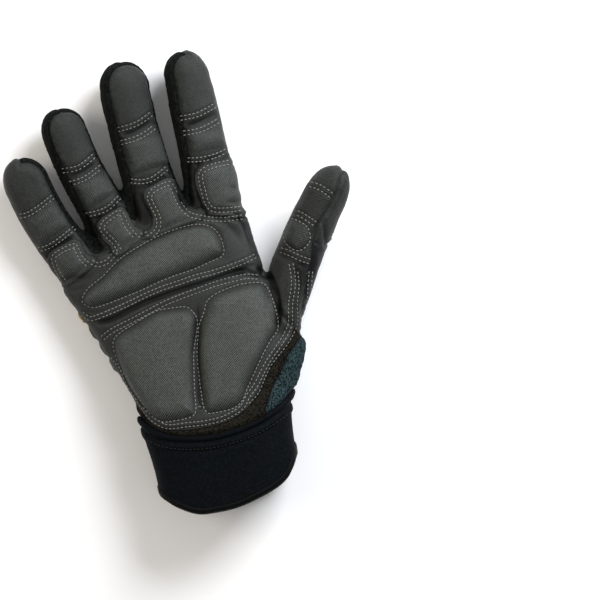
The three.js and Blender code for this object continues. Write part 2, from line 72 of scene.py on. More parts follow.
def curve(points: Points, closed: bool = False, steps: int = 10) -> np.ndarray:
    """Smooth line through plan points.

    Args:
        points: the points that it passes through, in millimetres.
        closed: whether the last point leads back to the first.
        steps: pieces between two points.

    Returns:
        An array of plan points.
    """
    p = np.asarray(points, float)
    n = len(p)
    spans = n if closed else n - 1
    made = []
    for i in range(spans):
        ids = [i - 1, i, i + 1, i + 2]
        ids = [k % n for k in ids] if closed else [min(max(k, 0), n - 1) for k in ids]
        a, b, c, d = p[ids]
        t = np.linspace(0, 1, steps, endpoint=False)[:, None]
        leaving, arriving = (c - a) / 2, (d - b) / 2
        cubic = 2 * b - 2 * c + leaving + arriving
        square = -3 * b + 3 * c - 2 * leaving - arriving
        made.append(cubic * t**3 + square * t**2 + leaving * t + b)
    if not closed:
        made.append(p[-1:])
    return np.vstack(made)


def travelled(line: np.ndarray) -> np.ndarray:
    """How far along a line each of its points lies."""
    return np.concatenate([[0], np.cumsum(np.linalg.norm(np.diff(line, axis=0), axis=1))])


def beside(line: np.ndarray, distance: float) -> np.ndarray:
    """A plan line moved sideways, to its left where the distance is above zero.

    Args:
        line: its points.
        distance: how far, in millimetres.

    Returns:
        The moved line.
    """
    ahead = np.gradient(line, axis=0)
    ahead /= np.maximum(np.linalg.norm(ahead, axis=1, keepdims=True), LEAST)
    return line + np.stack([-ahead[:, 1], ahead[:, 0]], 1) * distance


def batches(ids: np.ndarray, width: int) -> list[np.ndarray]:
    """Ids in parts, each small enough for a table of that width."""
    return np.array_split(ids, len(ids) * width // BATCH + 1)


def line_distance(points: np.ndarray, line: np.ndarray, reach: float,
                  closed: bool = False) -> np.ndarray:
    """Plan distance from points to a line.

    Args:
        points: points whose first two columns are used.
        line: the line's points.
        reach: distance past which the result is only said to be the reach.
        closed: whether the line's end leads back to its start.

    Returns:
        One distance a point, at most the reach.
    """
    found = np.full(len(points), float(reach))
    low, high = line.min(0) - reach, line.max(0) + reach
    near = np.flatnonzero(((points[:, :2] > low) & (points[:, :2] < high)).all(1))
    starts = line if closed else line[:-1]
    ends = np.roll(line, -1, 0) if closed else line[1:]
    edge = ends - starts
    size = np.maximum((edge**2).sum(1), 1e-12)
    for part in batches(near, len(edge)):
        away = points[part, None, :2] - starts[None]
        t = np.clip((away * edge).sum(2) / size, 0, 1)
        gap = away - t[..., None] * edge
        found[part] = np.minimum(found[part], np.sqrt((gap**2).sum(2).min(1)))
    return found


def inside(points: np.ndarray, outline: np.ndarray) -> np.ndarray:
    """Whether each point lies within a closed plan outline.

    Args:
        points: plan points.
        outline: its corners.

    Returns:
        One flag a point.
    """
    low, high = outline.min(0), outline.max(0)
    found = np.zeros(len(points), bool)
    near = np.flatnonzero(((points[:, :2] > low) & (points[:, :2] < high)).all(1))
    a, b = outline, np.roll(outline, -1, 0)
    step = b[:, 1] - a[:, 1]
    rise = np.where(np.abs(step) < LEAST, LEAST, step)
    for part in batches(near, len(a)):
        x, y = points[part, 0, None], points[part, 1, None]
        spans = (a[:, 1] > y) != (b[:, 1] > y)
        cross = x < (b[:, 0] - a[:, 0]) * (y - a[:, 1]) / rise + a[:, 0]
        found[part] = (spans & cross).sum(1) % 2 == 1
    return found


def area_field(points: np.ndarray, outline: np.ndarray, reach: float = 14.0) -> np.ndarray:
    """Distance to a closed plan outline, above zero within it."""
    distance = line_distance(points, outline, reach, closed=True)
    return np.where(inside(points, outline), distance, -distance)


def height_over(points: np.ndarray, line: np.ndarray) -> np.ndarray:
    """How far points lie on the fingers' side of a plan line that runs across the hand.

    Args:
        points: points.
        line: the plan line.

    Returns:
        One distance a point, negative below it.
    """
    order = np.argsort(line[:, 0])
    x, y = line[order, 0], line[order, 1]
    apart = x + np.arange(len(x)) * 1e-7  # no two places alike, so that each has a slope
    steepest = 2.0
    at = np.interp(points[:, 0], x, y)
    slope = np.interp(points[:, 0], x, np.gradient(y, apart))
    return (points[:, 1] - at) / np.sqrt(1 + np.minimum(slope**2, steepest**2))


def either(a: np.ndarray, b: np.ndarray, blend: float = 0.0) -> np.ndarray:
    """Field of two areas joined, with a rounded inner corner where blend is above zero.

    Args:
        a: one field.
        b: the other.
        blend: how round the corner is.

    Returns:
        The joined field.
    """
    if blend <= 0:
        return np.maximum(a, b)
    h = np.maximum(blend - np.abs(a - b), 0) / blend
    return np.maximum(a, b) + h * h * blend / 4


def both(*fields: np.ndarray) -> np.ndarray:
    """Field of the area that all the areas share."""
    return np.minimum.reduce(fields)


def smooth(x: np.ndarray, low: float, high: float) -> np.ndarray:
    """0 below low, 1 over high and a smooth step between them."""
    t = np.clip((x - low) / (high - low), 0, 1)
    return t * t * (3 - 2 * t)


def hollow(distance: np.ndarray, width: float) -> np.ndarray:
    """A rounded valley's depth share at a distance from its middle."""
    return np.exp(-((distance / width) ** 2))


class Noise:
    """Seeded smooth noise in space, from -1 to 1."""

    CELLS = 24  # of its lattice each way, after which it repeats
    START = 100.0  # keeps places on the lattice above zero

    def __init__(self, seed: int) -> None:
        """Draws the lattice of values for one seed."""
        self.lattice = np.random.default_rng(seed).uniform(-1, 1, (self.CELLS,) * 3)

    def __call__(self, points: np.ndarray, size: float | Sequence[float]) -> np.ndarray:
        """Noise at points.

        Args:
            points: places in millimetres.
            size: width of one swell in millimetres, or one for each axis.

        Returns:
            One value a point.
        """
        q = points / np.asarray(size, float) + self.START
        base = np.floor(q).astype(int)
        t = q - base
        t = t * t * (3 - 2 * t)
        total = np.zeros(len(points))
        for corner in range(8):
            step = np.array([corner & 1, corner >> 1 & 1, corner >> 2 & 1])
            weight = np.where(step, t, 1 - t).prod(1)
            i, j, k = ((base + step) % self.CELLS).T
            total += weight * self.lattice[i, j, k]
        return total


# The hand that the glove fits


@dataclass(frozen=True)
class Digit:
    """One digit's spine, section, roll and trims."""

    name: str
    root: Size
    lean: Size  # at the root and at the tip, in degrees from +Y to +X
    turn: float  # share of the length where the lean changes
    length: float
    width: float
    depth: float
    roll: float  # how far the palm's side turns to the thumb, in degrees
    lift: Size  # height of the spine at the root and at the tip
    base: float  # share of the length where the digit leaves the hand
    flex: float = 0.0  # share of the length under its ribbed band
    cap: float = 0.0
    rows: tuple[tuple[float, float, float], ...] = (
        (0, 1.04, 0.98), (0.26, 1.05, 1.02), (0.5, 1.02, 1), (0.7, 1, 1))
    tip: float = 15.0
    squareness: float = 2.25
    tip_width: float = 1.0


INDEX = Digit("index", (28.3, 45), (1, -2), 0.46, 109, 28, 22, 28, (13, 19), 0.2, 0.26, 32,
              tip_width=0.92)
MIDDLE = Digit("middle", (3, 45), (-14, 4), 0.51, 112, 28.5, 22.5, 26, (13, 18), 0.18, 0.27, 30)
RING = Digit("ring", (-18, 38), (-24.5, -1), 0.65, 104.5, 26, 21.5, 22, (13, 19), 0.22, 0.27, 26)
LITTLE = Digit("little", (-37, 20), (-32, 1), 0.67, 104, 26, 20.5, 6, (13, 20), 0.34, 0.42, 21)
THUMB = Digit("thumb", (41, -26), (22, 42), 0.5, 117, 28, 24, -60, (18, 31), -1, tip=19,
              tip_width=0.86)
FINGERS = (INDEX, MIDDLE, RING, LITTLE)


class Spine:
    """A digit's centre line, with the turned frame that goes along it."""

    LINE_STEPS = 400
    REACH = (-0.3, 1.3)  # shares of the length that its frames cover
    FRAMES = 193
    LIFT_POWER = 2.5  # how late along the digit its tip lifts
    ROLL_SHARE = 0.3  # of the length, over which the digit turns to its roll

    def __init__(self, digit: Digit) -> None:
        """Lays out the line and samples its frames.

        Args:
            digit: the finger or thumb.
        """
        self.digit = digit
        root = np.array(digit.root, float)
        bend = root + self.heading(digit.lean[0]) * digit.length * digit.turn
        tip = bend + self.heading(digit.lean[1]) * digit.length * (1 - digit.turn)
        t = np.linspace(0, 1, self.LINE_STEPS + 1)[:, None]
        line = root * (1 - t) ** 2 + 2 * bend * t * (1 - t) + tip * t**2
        gone = travelled(line)
        self.line, self.t = line, gone / gone[-1]
        self.slope = np.gradient(line, axis=0)
        self.share = np.linspace(*self.REACH, self.FRAMES)
        self.points, self.ahead, self.across, self.up = self.frames(self.share)

    @staticmethod
    def heading(lean: float) -> np.ndarray:
        """Plan direction that leans from +Y towards +X, in degrees."""
        return np.array([math.sin(math.radians(lean)), math.cos(math.radians(lean))])

    def frames(self, share: np.ndarray) -> tuple[np.ndarray, ...]:
        """Points and directions along the spine.

        Args:
            share: places as shares of the digit's length.

        Returns:
            Arrays of points, and of the directions ahead, across and up.
        """
        d = self.digit
        within = np.clip(share, 0, 1)
        plan = np.stack([np.interp(within, self.t, self.line[:, k]) for k in (0, 1)], 1)
        ahead = np.stack([np.interp(within, self.t, self.slope[:, k]) for k in (0, 1)], 1)
        ahead /= np.linalg.norm(ahead, axis=1, keepdims=True)
        plan = plan + ahead * ((share - within) * d.length)[:, None]
        z = d.lift[0] + (d.lift[1] - d.lift[0]) * np.maximum(share, 0) ** self.LIFT_POWER
        flat = np.zeros(len(share))
        side = np.stack([ahead[:, 1], -ahead[:, 0], flat], 1)
        roll = np.radians(d.roll) * smooth(share, d.base, d.base + self.ROLL_SHARE)
        c, s = np.cos(roll)[:, None], np.sin(roll)[:, None]
        upright = np.array([[0.0, 0.0, 1.0]])
        return (
            np.column_stack([plan, z]),
            np.column_stack([ahead, flat]),
            side * c - upright * s,
            upright * c + side * s,
        )

    def coordinates(self, points: np.ndarray) -> tuple[np.ndarray, np.ndarray, np.ndarray]:
        """Places in the digit's own terms.

        Args:
            points: places in millimetres.

        Returns:
            How far across and up from the spine, and the share along it.
        """
        share = np.empty(len(points))
        for part in batches(np.arange(len(points)), len(self.share)):
            away = points[part, None, :2] - self.points[None, :, :2]
            i = (away**2).sum(2).argmin(1)
            rel = points[part, :2] - self.points[i, :2]
            share[part] = self.share[i] + (rel * self.ahead[i, :2]).sum(1) / self.digit.length
        centre, _, across, up = self.frames(share)
        rel = points - centre
        return (rel * across).sum(1), (rel * up).sum(1), share


@dataclass
class HandForm:
    """The filled outer form of the glove, as smooth lofts that are merged into one skin."""

    palm_depth: float = 34.0
    clearance: float = 1.1
    cuff_lift: float = 1.1
    cuff_size: tuple[float, float, float] = (84.0, 44.0, 42.0)
    cuff_place: Size = (6.0, -53.0)
    squareness: float = 2.7
    cuff_rows: tuple[tuple[float, float, float], ...] = (
        (1.3, 0.93, 0.98), (0.5, 0.95, 1), (0, 1, 1))
    rows: tuple[tuple[float, ...], ...] = (
        (-36, -37.5, 57, 0.02, 1.14), (-20, -42, 63, 0.01, 1.08), (0, -48.8, 53.5, 0, 0.98),
        (20, -57, 49, -0.01, 0.89), (36, -64, 46.8, -0.02, 0.81), (49, -63, 45.5, -0.03, 0.75),
        (54, -33, 45.2, -0.03, 0.73), (67, -22, 42, 0.1, 0.57),
    )
    hand_steps: int = 90
    hand_sides: int = 96
    digit_steps: int = 36
    digit_sides: int = 56
    tip_steps: int = 12
    tip_end: float = 86.0  # degrees round the tip where its last ring lies
    bluntness: float = 0.92
    cell: float = 1.55  # size of the merged skin's faces, before each is split into four
    root: tuple[float, float, float] = (43.0, 5.0, 27.0)  # where the thumb's root meets the palm
    root_reach: float = 17.0
    root_rounds: int = 24
    rounds: int = 5
    bench: float = 1.2  # height under which the skin is pressed flat by the bench
    spines: dict[str, Spine] = field(default_factory=dict)

    @staticmethod
    def eased(x: np.ndarray, xs: np.ndarray, ys: np.ndarray) -> np.ndarray:
        """A smooth curve through a table that never swings past its values.

        Args:
            x: where to read it.
            xs: the table's places.
            ys: its values there.

        Returns:
            The values.
        """
        h, d = np.diff(xs), np.diff(ys) / np.diff(xs)
        m = np.concatenate([[d[0]], np.zeros(len(d) - 1), [d[-1]]])
        for i in range(1, len(d)):
            if d[i - 1] * d[i] > 0:
                before, after = 2 * h[i] + h[i - 1], h[i] + 2 * h[i - 1]
                m[i] = (before + after) / (before / d[i - 1] + after / d[i])
        i = np.clip(np.searchsorted(xs, x) - 1, 0, len(h) - 1)
        t = np.clip((x - xs[i]) / h[i], 0, 1)
        return ((2 * t**3 - 3 * t**2 + 1) * ys[i] + (t**3 - 2 * t**2 + t) * h[i] * m[i]
                + (-2 * t**3 + 3 * t**2) * ys[i + 1] + (t**3 - t**2) * h[i] * m[i + 1])

    @staticmethod
    def rings(centre: np.ndarray, across: np.ndarray, up: np.ndarray, half: np.ndarray,
              squareness: float, sides: int) -> np.ndarray:
        """Rounded rings, one a row, from their centres, directions and half sizes.

        Args:
            centre: ring centres.
            across: their directions across.
            up: their directions up.
            half: half widths and heights.
            squareness: powers of their corners.
            sides: points a ring.

        Returns:
            Points, ring by ring.
        """
        angle = -2 * np.pi * (np.arange(sides) + 0.5) / sides
        power = 2 / squareness
        c = np.sign(np.cos(angle)) * np.abs(np.cos(angle)) ** power
        s = np.sign(np.sin(angle)) * np.abs(np.sin(angle)) ** power
        return (centre[:, None] + across[:, None] * (half[:, None, :1] * c[None, :, None])
                + up[:, None] * (half[:, None, 1:] * s[None, :, None]))

    def hand_rings(self) -> np.ndarray:
        """Rings of the hand and the cuff, from the wrist to the roots of the fingers.

        Returns:
            The rings' points.
        """
        width, length, depth = self.cuff_size
        x, y = self.cuff_place
        ground = self.clearance
        lifted = ground + self.cuff_lift
        table = [(y - a * length, x - w * width / 2, x + w * width / 2, lifted, lifted + d * depth)
                 for a, w, d in self.cuff_rows]
        table += [(a, l, r, ground + b * self.palm_depth, ground + t * self.palm_depth)
                  for a, l, r, b, t in self.rows]
        t = np.array(table)
        at = np.linspace(t[0, 0], t[-1, 0], self.hand_steps)
        left, right, low, high = (self.eased(at, t[:, 0], t[:, k]) for k in (1, 2, 3, 4))
        centre = np.stack([(left + right) / 2, at, (low + high) / 2], 1)
        half = np.stack([(right - left) / 2, (high - low) / 2], 1)
        ones = np.ones((len(at), 1))
        return self.rings(centre, ones * [1, 0, 0], ones * [0, 0, 1], half, self.squareness,
                          self.hand_sides)

    def digit_rings(self, spine: Spine) -> np.ndarray:
        """Rings of one digit, from inside the hand to its rounded tip.

        Args:
            spine: the digit's line.

        Returns:
            The rings' points.
        """
        d = spine.digit
        start = 1 - d.tip / d.length
        rows = np.array([*d.rows, (start, d.tip_width, 1)])
        body = np.linspace(0, start, self.digit_steps)
        width, depth = (np.interp(body, rows[:, 0], rows[:, k]) for k in (1, 2))
        angle = np.radians(np.linspace(0, self.tip_end, self.tip_steps))[1:]
        share = np.concatenate([body, 1 - (d.tip * (1 - np.sin(angle))) / d.length])
        blunt = np.cos(angle) ** self.bluntness
        half = np.stack([np.concatenate([width, blunt * d.tip_width]) * d.width / 2,
                         np.concatenate([depth, blunt]) * d.depth / 2], 1)
        point, _, across, up = spine.frames(share)
        return self.rings(point, across, up, half, d.squareness, self.digit_sides)

    def build(self) -> tuple[np.ndarray, np.ndarray]:
        """Merges the lofts into one skin.

        Returns:
            The skin's points in millimetres and its triangles.
        """
        self.spines = {d.name: Spine(d) for d in (*FINGERS, THUMB)}
        points, faces, count = [], [], 0
        for rings in (self.hand_rings(), *(self.digit_rings(s) for s in self.spines.values())):
            rows, sides = rings.shape[:2]
            ids = count + np.arange(rows * sides).reshape(rows, sides)
            near = np.roll(ids, -1, 1)
            quads = np.stack([ids[:-1], near[:-1], near[1:], ids[1:]], 2).reshape(-1, 4)
            faces += quads.tolist() + [ids[0, ::-1].tolist(), ids[-1].tolist()]
            points.append(rings.reshape(-1, 3))
            count += rows * sides
        mesh = bpy.data.meshes.new("hand_form")
        mesh.from_pydata((np.vstack(points) * MM).tolist(), [], faces)
        form = bpy.data.objects.new("hand_form", mesh)
        chosen_alone(form)
        self.merge(form)
        mesh = form.data
        found = np.empty(len(mesh.vertices) * 3)
        mesh.vertices.foreach_get("co", found)
        corners = np.empty(len(mesh.loops), int)
        mesh.loops.foreach_get("vertex_index", corners)
        quads = corners.reshape(-1, 4)
        bpy.data.objects.remove(form)
        xyz = found.reshape(-1, 3) / MM
        low = xyz[:, 2] < self.bench
        xyz[low, 2] = self.bench * np.exp((xyz[low, 2] - self.bench) / self.bench)
        return xyz, np.vstack([quads[:, [0, 1, 2]], quads[:, [0, 2, 3]]])

    def merge(self, form: bpy.types.Object) -> None:
        """Joins the lofts into one even skin and smooths it, most of all round the thumb's root.

        Args:
            form: the object that holds the lofts, which is active.
        """
        remesh = form.modifiers.new("merge", "REMESH")
        remesh.mode, remesh.voxel_size = "VOXEL", self.cell * MM
        bpy.ops.object.modifier_apply(modifier="merge")
        group = form.vertex_groups.new(name="thumb_root")
        for vertex in form.data.vertices:
            share = 1 - (vertex.co / MM - Vector(self.root)).length / self.root_reach
            if share > 0:
                group.add([vertex.index], min(2 * share, 1.0), "REPLACE")
        ease = form.modifiers.new("ease", "SMOOTH")
        ease.factor, ease.iterations = 0.5, self.rounds
        blend = form.modifiers.new("blend", "SMOOTH")
        blend.factor, blend.iterations, blend.vertex_group = 0.5, self.root_rounds, "thumb_root"
        finer = form.modifiers.new("finer", "SUBSURF")
        finer.levels = finer.render_levels = 1
        for name in ("ease", "blend", "finer"):
            bpy.ops.object.modifier_apply(modifier=name)


def deselect() -> None:
    """Leaves no object selected."""
    for other in bpy.context.selected_objects:
        other.select_set(False)


def chosen_alone(piece: bpy.types.Object) -> None:
    """Puts a new object into the scene as the active one, with nothing else selected.

    Args:
        piece: the object.
    """
    bpy.context.scene.collection.objects.link(piece)
    deselect()
    piece.select_set(True)
    bpy.context.view_layer.objects.active = piece


def normals_of(points: np.ndarray, triangles: np.ndarray) -> np.ndarray:
    """Each point's outward direction, from the triangles round it.

    Args:
        points: points.
        triangles: their triangles.

    Returns:
        One unit direction a point.
    """
    a, b, c = (points[triangles[:, k]] for k in range(3))
    face = np.cross(b - a, c - a)
    total = np.zeros_like(points)
    for k in range(3):
        for axis in range(3):
            total[:, axis] += np.bincount(triangles[:, k], face[:, axis], len(points))
    return total / np.maximum(np.linalg.norm(total, axis=1, keepdims=True), 1e-12)


# The skin and its panels


class Skin:
    """The glove's outer surface with named values at its points. It can be cut along them."""

    def __init__(self, points: np.ndarray, triangles: np.ndarray) -> None:
        """Takes the surface, with no panel cut yet.

        Args:
            points: its points.
            triangles: its triangles.
        """
        self.points, self.triangles = points, triangles
        self.names: dict[str, int] = {}
        self.values = np.empty((len(points), 0))
        self.panel = np.zeros(len(triangles), int)
        self.put_many({f"normal_{k}": v for k, v in zip("xyz", normals_of(points, triangles).T)})

    def put_many(self, given: dict[str, np.ndarray]) -> None:
        """Keeps named values for every point.

        Args:
            given: values by name, one a point.
        """
        for i, name in enumerate(given):
            self.names[name] = self.values.shape[1] + i
        self.values = np.column_stack([self.values, *given.values()])

    def __getitem__(self, name: str) -> np.ndarray:
        """The values of one name."""
        return self.values[:, self.names[name]]

    def normals(self) -> np.ndarray:
        """Unit outward directions at the points."""
        n = np.stack([self[f"normal_{k}"] for k in "xyz"], 1)
        return n / np.maximum(np.linalg.norm(n, axis=1, keepdims=True), LEAST)

    def copy(self) -> "Skin":
        """A copy that can be cut by itself.

        Returns:
            The copy.
        """
        other = Skin.__new__(Skin)
        other.points, other.triangles = self.points.copy(), self.triangles.copy()
        other.names, other.values = dict(self.names), self.values.copy()
        other.panel = self.panel.copy()
        return other

    def kept(self, chosen: np.ndarray) -> "Skin":
        """Only the chosen triangles, with the points that they use.

        Args:
            chosen: one flag a triangle.

        Returns:
            A skin of those alone.
        """
        used, triangles = np.unique(self.triangles[chosen], return_inverse=True)
        other = Skin.__new__(Skin)
        other.points, other.triangles = self.points[used], triangles.reshape(-1, 3)
        other.names, other.values = dict(self.names), self.values[used]
        other.panel = self.panel[chosen]
        return other

    def cut(self, values: np.ndarray, chosen: np.ndarray, snap: float = 0.1) -> np.ndarray:
        """Cuts the chosen triangles where the values pass zero.

        Args:
            values: one value a point.
            chosen: which triangles may be cut.
            snap: values as small as this count as zero.

        Returns:
            Which triangles, after the cut, were chosen and lie where the values are above zero.
        """
        f = np.where(np.abs(values) < snap, 0.0, values)
        sign = np.sign(f)[self.triangles]
        high, low = sign.max(1), sign.min(1)
        cross = chosen & (high > 0) & (low < 0)
        zone = chosen & (low >= 0) & (high > 0)
        ids = np.flatnonzero(cross)
        if not len(ids):
            return zone
        tri, s = self.triangles[ids], sign[ids]
        touching = (s == 0).any(1)
        odd = np.where(s.sum(1) > 0, s.argmin(1), s.argmax(1))
        first = np.where(touching, (s == 0).argmax(1), odd)
        order = (first[:, None] + np.arange(3)) % 3
        tri, s = np.take_along_axis(tri, order, 1), np.take_along_axis(s, order, 1)
        v, w = tri[touching], tri[~touching]
        edges = np.vstack([v[:, [1, 2]], w[:, [0, 1]], w[:, [0, 2]]])
        pairs, where = np.unique(np.sort(edges, axis=1), axis=0, return_inverse=True)
        where = where.reshape(-1)
        start, end = pairs.T
        t = (f[start] / (f[start] - f[end]))[:, None]
        new = len(self.points) + where
        self.points = np.vstack([self.points, self.points[start] * (1 - t) + self.points[end] * t])
        self.values = np.vstack([self.values, self.values[start] * (1 - t) + self.values[end] * t])
        a, n = len(v), len(w)
        one, two, three = new[:a], new[a:a + n], new[a + n:]
        made = np.vstack([
            np.column_stack([v[:, 0], v[:, 1], one]), np.column_stack([v[:, 0], one, v[:, 2]]),
            np.column_stack([w[:, 0], two, three]), np.column_stack([two, w[:, 1], w[:, 2]]),
            np.column_stack([two, w[:, 2], three]),
        ])
        v, w = s[touching], s[~touching]
        plus = np.concatenate([v[:, 1], v[:, 2], w[:, 0], w[:, 1], w[:, 1]]) > 0
        source = np.concatenate([ids[touching], ids[touching], *[ids[~touching]] * 3])
        keep = ~cross
        self.triangles = np.vstack([self.triangles[keep], made])
        self.panel = np.concatenate([self.panel[keep], self.panel[source]])
        return np.concatenate([zone[keep], plus])

    def largest(self, zone: np.ndarray) -> np.ndarray:
        """Only the largest connected part of a set of triangles.

        Args:
            zone: one flag a triangle.

        Returns:
            The flags of that part.
        """
        ids = np.flatnonzero(zone)
        if not len(ids):
            return zone
        tri = self.triangles[ids]
        used, local = np.unique(tri, return_inverse=True)
        local = local.reshape(-1, 3)
        label = np.arange(len(used))
        while True:
            low = label[local].min(1)
            before = label.copy()
            for k in range(3):
                np.minimum.at(label, local[:, k], low)
            label = label[label]
            if (label == before).all():
                break
        parts, counts = np.unique(label[local[:, 0]], return_counts=True)
        found = np.zeros(len(zone), bool)
        found[ids[label[local[:, 0]] == parts[counts.argmax()]]] = True
        return found

    def refine(self) -> None:
        """Splits every triangle into four."""
        tri = self.triangles
        edges = np.sort(np.vstack([tri[:, [0, 1]], tri[:, [1, 2]], tri[:, [2, 0]]]), axis=1)
        pairs, where = np.unique(edges, axis=0, return_inverse=True)
        ab, bc, ca = (len(self.points) + where.reshape(3, -1))
        self.points = np.vstack([self.points, self.points[pairs].mean(1)])
        self.values = np.vstack([self.values, self.values[pairs].mean(1)])
        a, b, c = tri.T
        corners = ((a, ab, ca), (ab, b, bc), (ca, bc, c), (ab, bc, ca))
        self.triangles = np.vstack([np.column_stack(t) for t in corners])
        self.panel = np.tile(self.panel, 4)


Height = Callable[[Skin, np.ndarray], np.ndarray]


@dataclass
class Shell:
    """A closed sheet with an outer face, an inner face and the rim between them, in millimetres."""

    outer: np.ndarray
    inner: np.ndarray
    triangles: np.ndarray
    marks: dict[str, np.ndarray]

    def dress(self, name: str, material: bpy.types.Material) -> bpy.types.Object:
        """Makes the Blender object, which rides on the glove's one body.

        Args:
            name: the object's name.
            material: its finish.

        Returns:
            The object.
        """
        tri, n = self.triangles, len(self.outer)
        edges = np.vstack([tri[:, [0, 1]], tri[:, [1, 2]], tri[:, [2, 0]]])
        keys = edges[:, 0] * (n + 1) + edges[:, 1]
        back = edges[:, 1] * (n + 1) + edges[:, 0]
        rim = edges[~np.isin(back, keys)]
        a, b = rim.T
        walls = np.vstack([np.column_stack([b, a, a + n]), np.column_stack([b, a + n, b + n])])
        faces = np.vstack([tri, tri[:, ::-1] + n, walls])
        points = np.vstack([self.outer, self.inner]) * MM
        marks = {k: np.concatenate([v, v]) for k, v in self.marks.items()}
        marks["inner"] = np.concatenate([np.zeros(n), np.ones(n)])
        return mesh_object(name, points, faces, material, marks)


def mesh_object(name: str, points: np.ndarray, triangles: np.ndarray,
                material: bpy.types.Material, marks: dict[str, np.ndarray] | None = None,
                angle: float = 42.0) -> bpy.types.Object:
    """Makes an object from triangles, smooth up to an angle, riding on the one body.

    Args:
        name: the object's name.
        points: its points in metres.
        triangles: its faces.
        material: its finish.
        marks: values for its points, by attribute name.
        angle: edges sharper than this many degrees stay sharp.

    Returns:
        The object.
    """
    mesh = bpy.data.meshes.new(name)
    mesh.vertices.add(len(points))
    mesh.vertices.foreach_set("co", points.astype(np.float32).ravel())
    mesh.loops.add(triangles.size)
    mesh.loops.foreach_set("vertex_index", triangles.astype(np.int32).ravel())
    mesh.polygons.add(len(triangles))
    mesh.polygons.foreach_set("loop_start", np.arange(0, triangles.size, 3, dtype=np.int32))
    mesh.update(calc_edges=True)
    for key, values in (marks or {}).items():
        mark = mesh.attributes.new(key, "FLOAT", "POINT")
        mark.data.foreach_set("value", values.astype(np.float32))
    mesh.materials.append(material)
    piece = bpy.data.objects.new(name, mesh)
    chosen_alone(piece)
    bpy.ops.object.shade_smooth_by_angle(angle=math.radians(angle))
    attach(piece, "root")
    log.info("%s: %d triangles", name, len(triangles))
    return piece


# The glove's layout: where each sewn panel lies on the skin

SIDE_SEAM = 13.0  # height of the seam between palm and back over the bench
STRIP_HALF = 6.0  # half the height of the black strips between the fingers
WALL = 2.0
CUFF_WALL = 3.0
GAP = 0.3  # between neighbouring trims
DIGIT_MARGIN = 3.0  # how far a digit's areas reach past its sides
DIGIT_OVER = 22.0  # how far they reach over its spine
BEFORE_BASE = 0.1  # share of a digit by which they start before its base, inside the hand
PAST_TIP = 1.15  # share of a digit where they end
SIDE_WEIGHT = 4  # makes their sides steeper than their ends, so that they don't round a corner
CROSSING = 5.0  # half the width over which an outer seam goes round under its finger
NOTCH_HALF = (2.0, 4.0)  # half a strip's notch in the back, at its end and at the web
THUMB_SEAM = (9.0, 1.2)  # how far the thumb's lower seam lies under its spine, and its weight
THUMB_TIP = (0.66, 0.35)  # share of the thumb where its tip's leather starts, and that seam's slant
PAD_SHARE = 0.42  # half width of a finger's middle pad as a share of the finger's

CUFF_TOP = ((-110, 10), (-60, -20), (-38, -41), (-30, -50), (-18, -56.5), (3, -60), (25, -57.5),
    (42, -51), (50, -46), (66, -36), (90, -20))
CUFF_EDGE = ((-70, -50), (-42, -60), (-34.5, -86), (-18, -99.5), (-3, -102), (14, -100.5),
    (36, -93), (46, -80), (54, -60), (80, -50))
BAND_LINE = ((-120, 24), (120, 24))
PIPING_LINE = ((-120, -10), (-80, -13), (-45, -16), (5, -16.5), (27, -10), (42, 2), (70, 22),
    (120, 50))
HEEL_LINE = ((-110, 40), (-65, 10), (-50, -3), (-45, -15), (-40.5, -27), (-35, -39),
    (-28.5, -48.5), (-16, -53.5), (0, -54.8), (12, -53.8), (22, -50), (31, -42.5), (37, -35),
    (42, -28.5), (48, -23), (54, -18), (60, -10), (66, 2), (90, 40))
TERRY_PALM = ((34, -52), (40.8, -40), (46.7, -33.3), (51.5, -26), (61.7, -16.7), (90, -17),
    (90, -70), (34, -70))
TERRY_BACK = ((27, -4), (40, -3.5), (57, 0), (70, -4), (95, -15), (90, -70), (33.5, -70),
    (33.5, -42), (27, -37))
THUMB_ZONE = ((50, 24), (49, 10), (53, -2), (60, -12), (62, -17), (95, -17), (140, 70), (110, 100),
    (70, 85))
THUMB_BACK = ((50, 24), (37, 22), (27, -4), (40, -3.5), (57, 0), (70, -4), (95, -15), (140, 70),
    (110, 100), (70, 85))
THUMB_FRONT = ((50, 24), (49, 10), (53, -2), (60, -12), (62, -17), (63.4, -17), (64.2, -4),
    (68.5, 7), (73.8, 19.5), (77.5, 32), (83, 43.5), (90, 50), (94.4, 55.1), (98.1, 60.8),
    (100.9, 65.8), (104.5, 75), (108, 90), (70, 85))
PALM_OUTLINE = ((-150, -150), (150, -150), (150, 30), (50, 60), (-25, 56), (-72, 36), (-150, 30))
WEB_NOTCHES = ((17, 42), (-7, 37), (-34, 31))
VENT_PLACE, VENT_SIZE = (33.5, -48), (3.6, 18)
TAG_PLACE, TAG_SIZE = (-53, 19), (6.5, 15)
STRAP_PLACE, STRAP_SIZE, STRAP_LEAN = (-26, -77), (26, 62), -9.0


@dataclass(frozen=True)
class Pad:
    """A padded area: its stitched outline or its place between two folds, and its height."""

    name: str
    height: float
    ease: float  # width over which it rises
    outline: Points = ()
    digit: Digit | None = None
    span: Size = (0, 0)


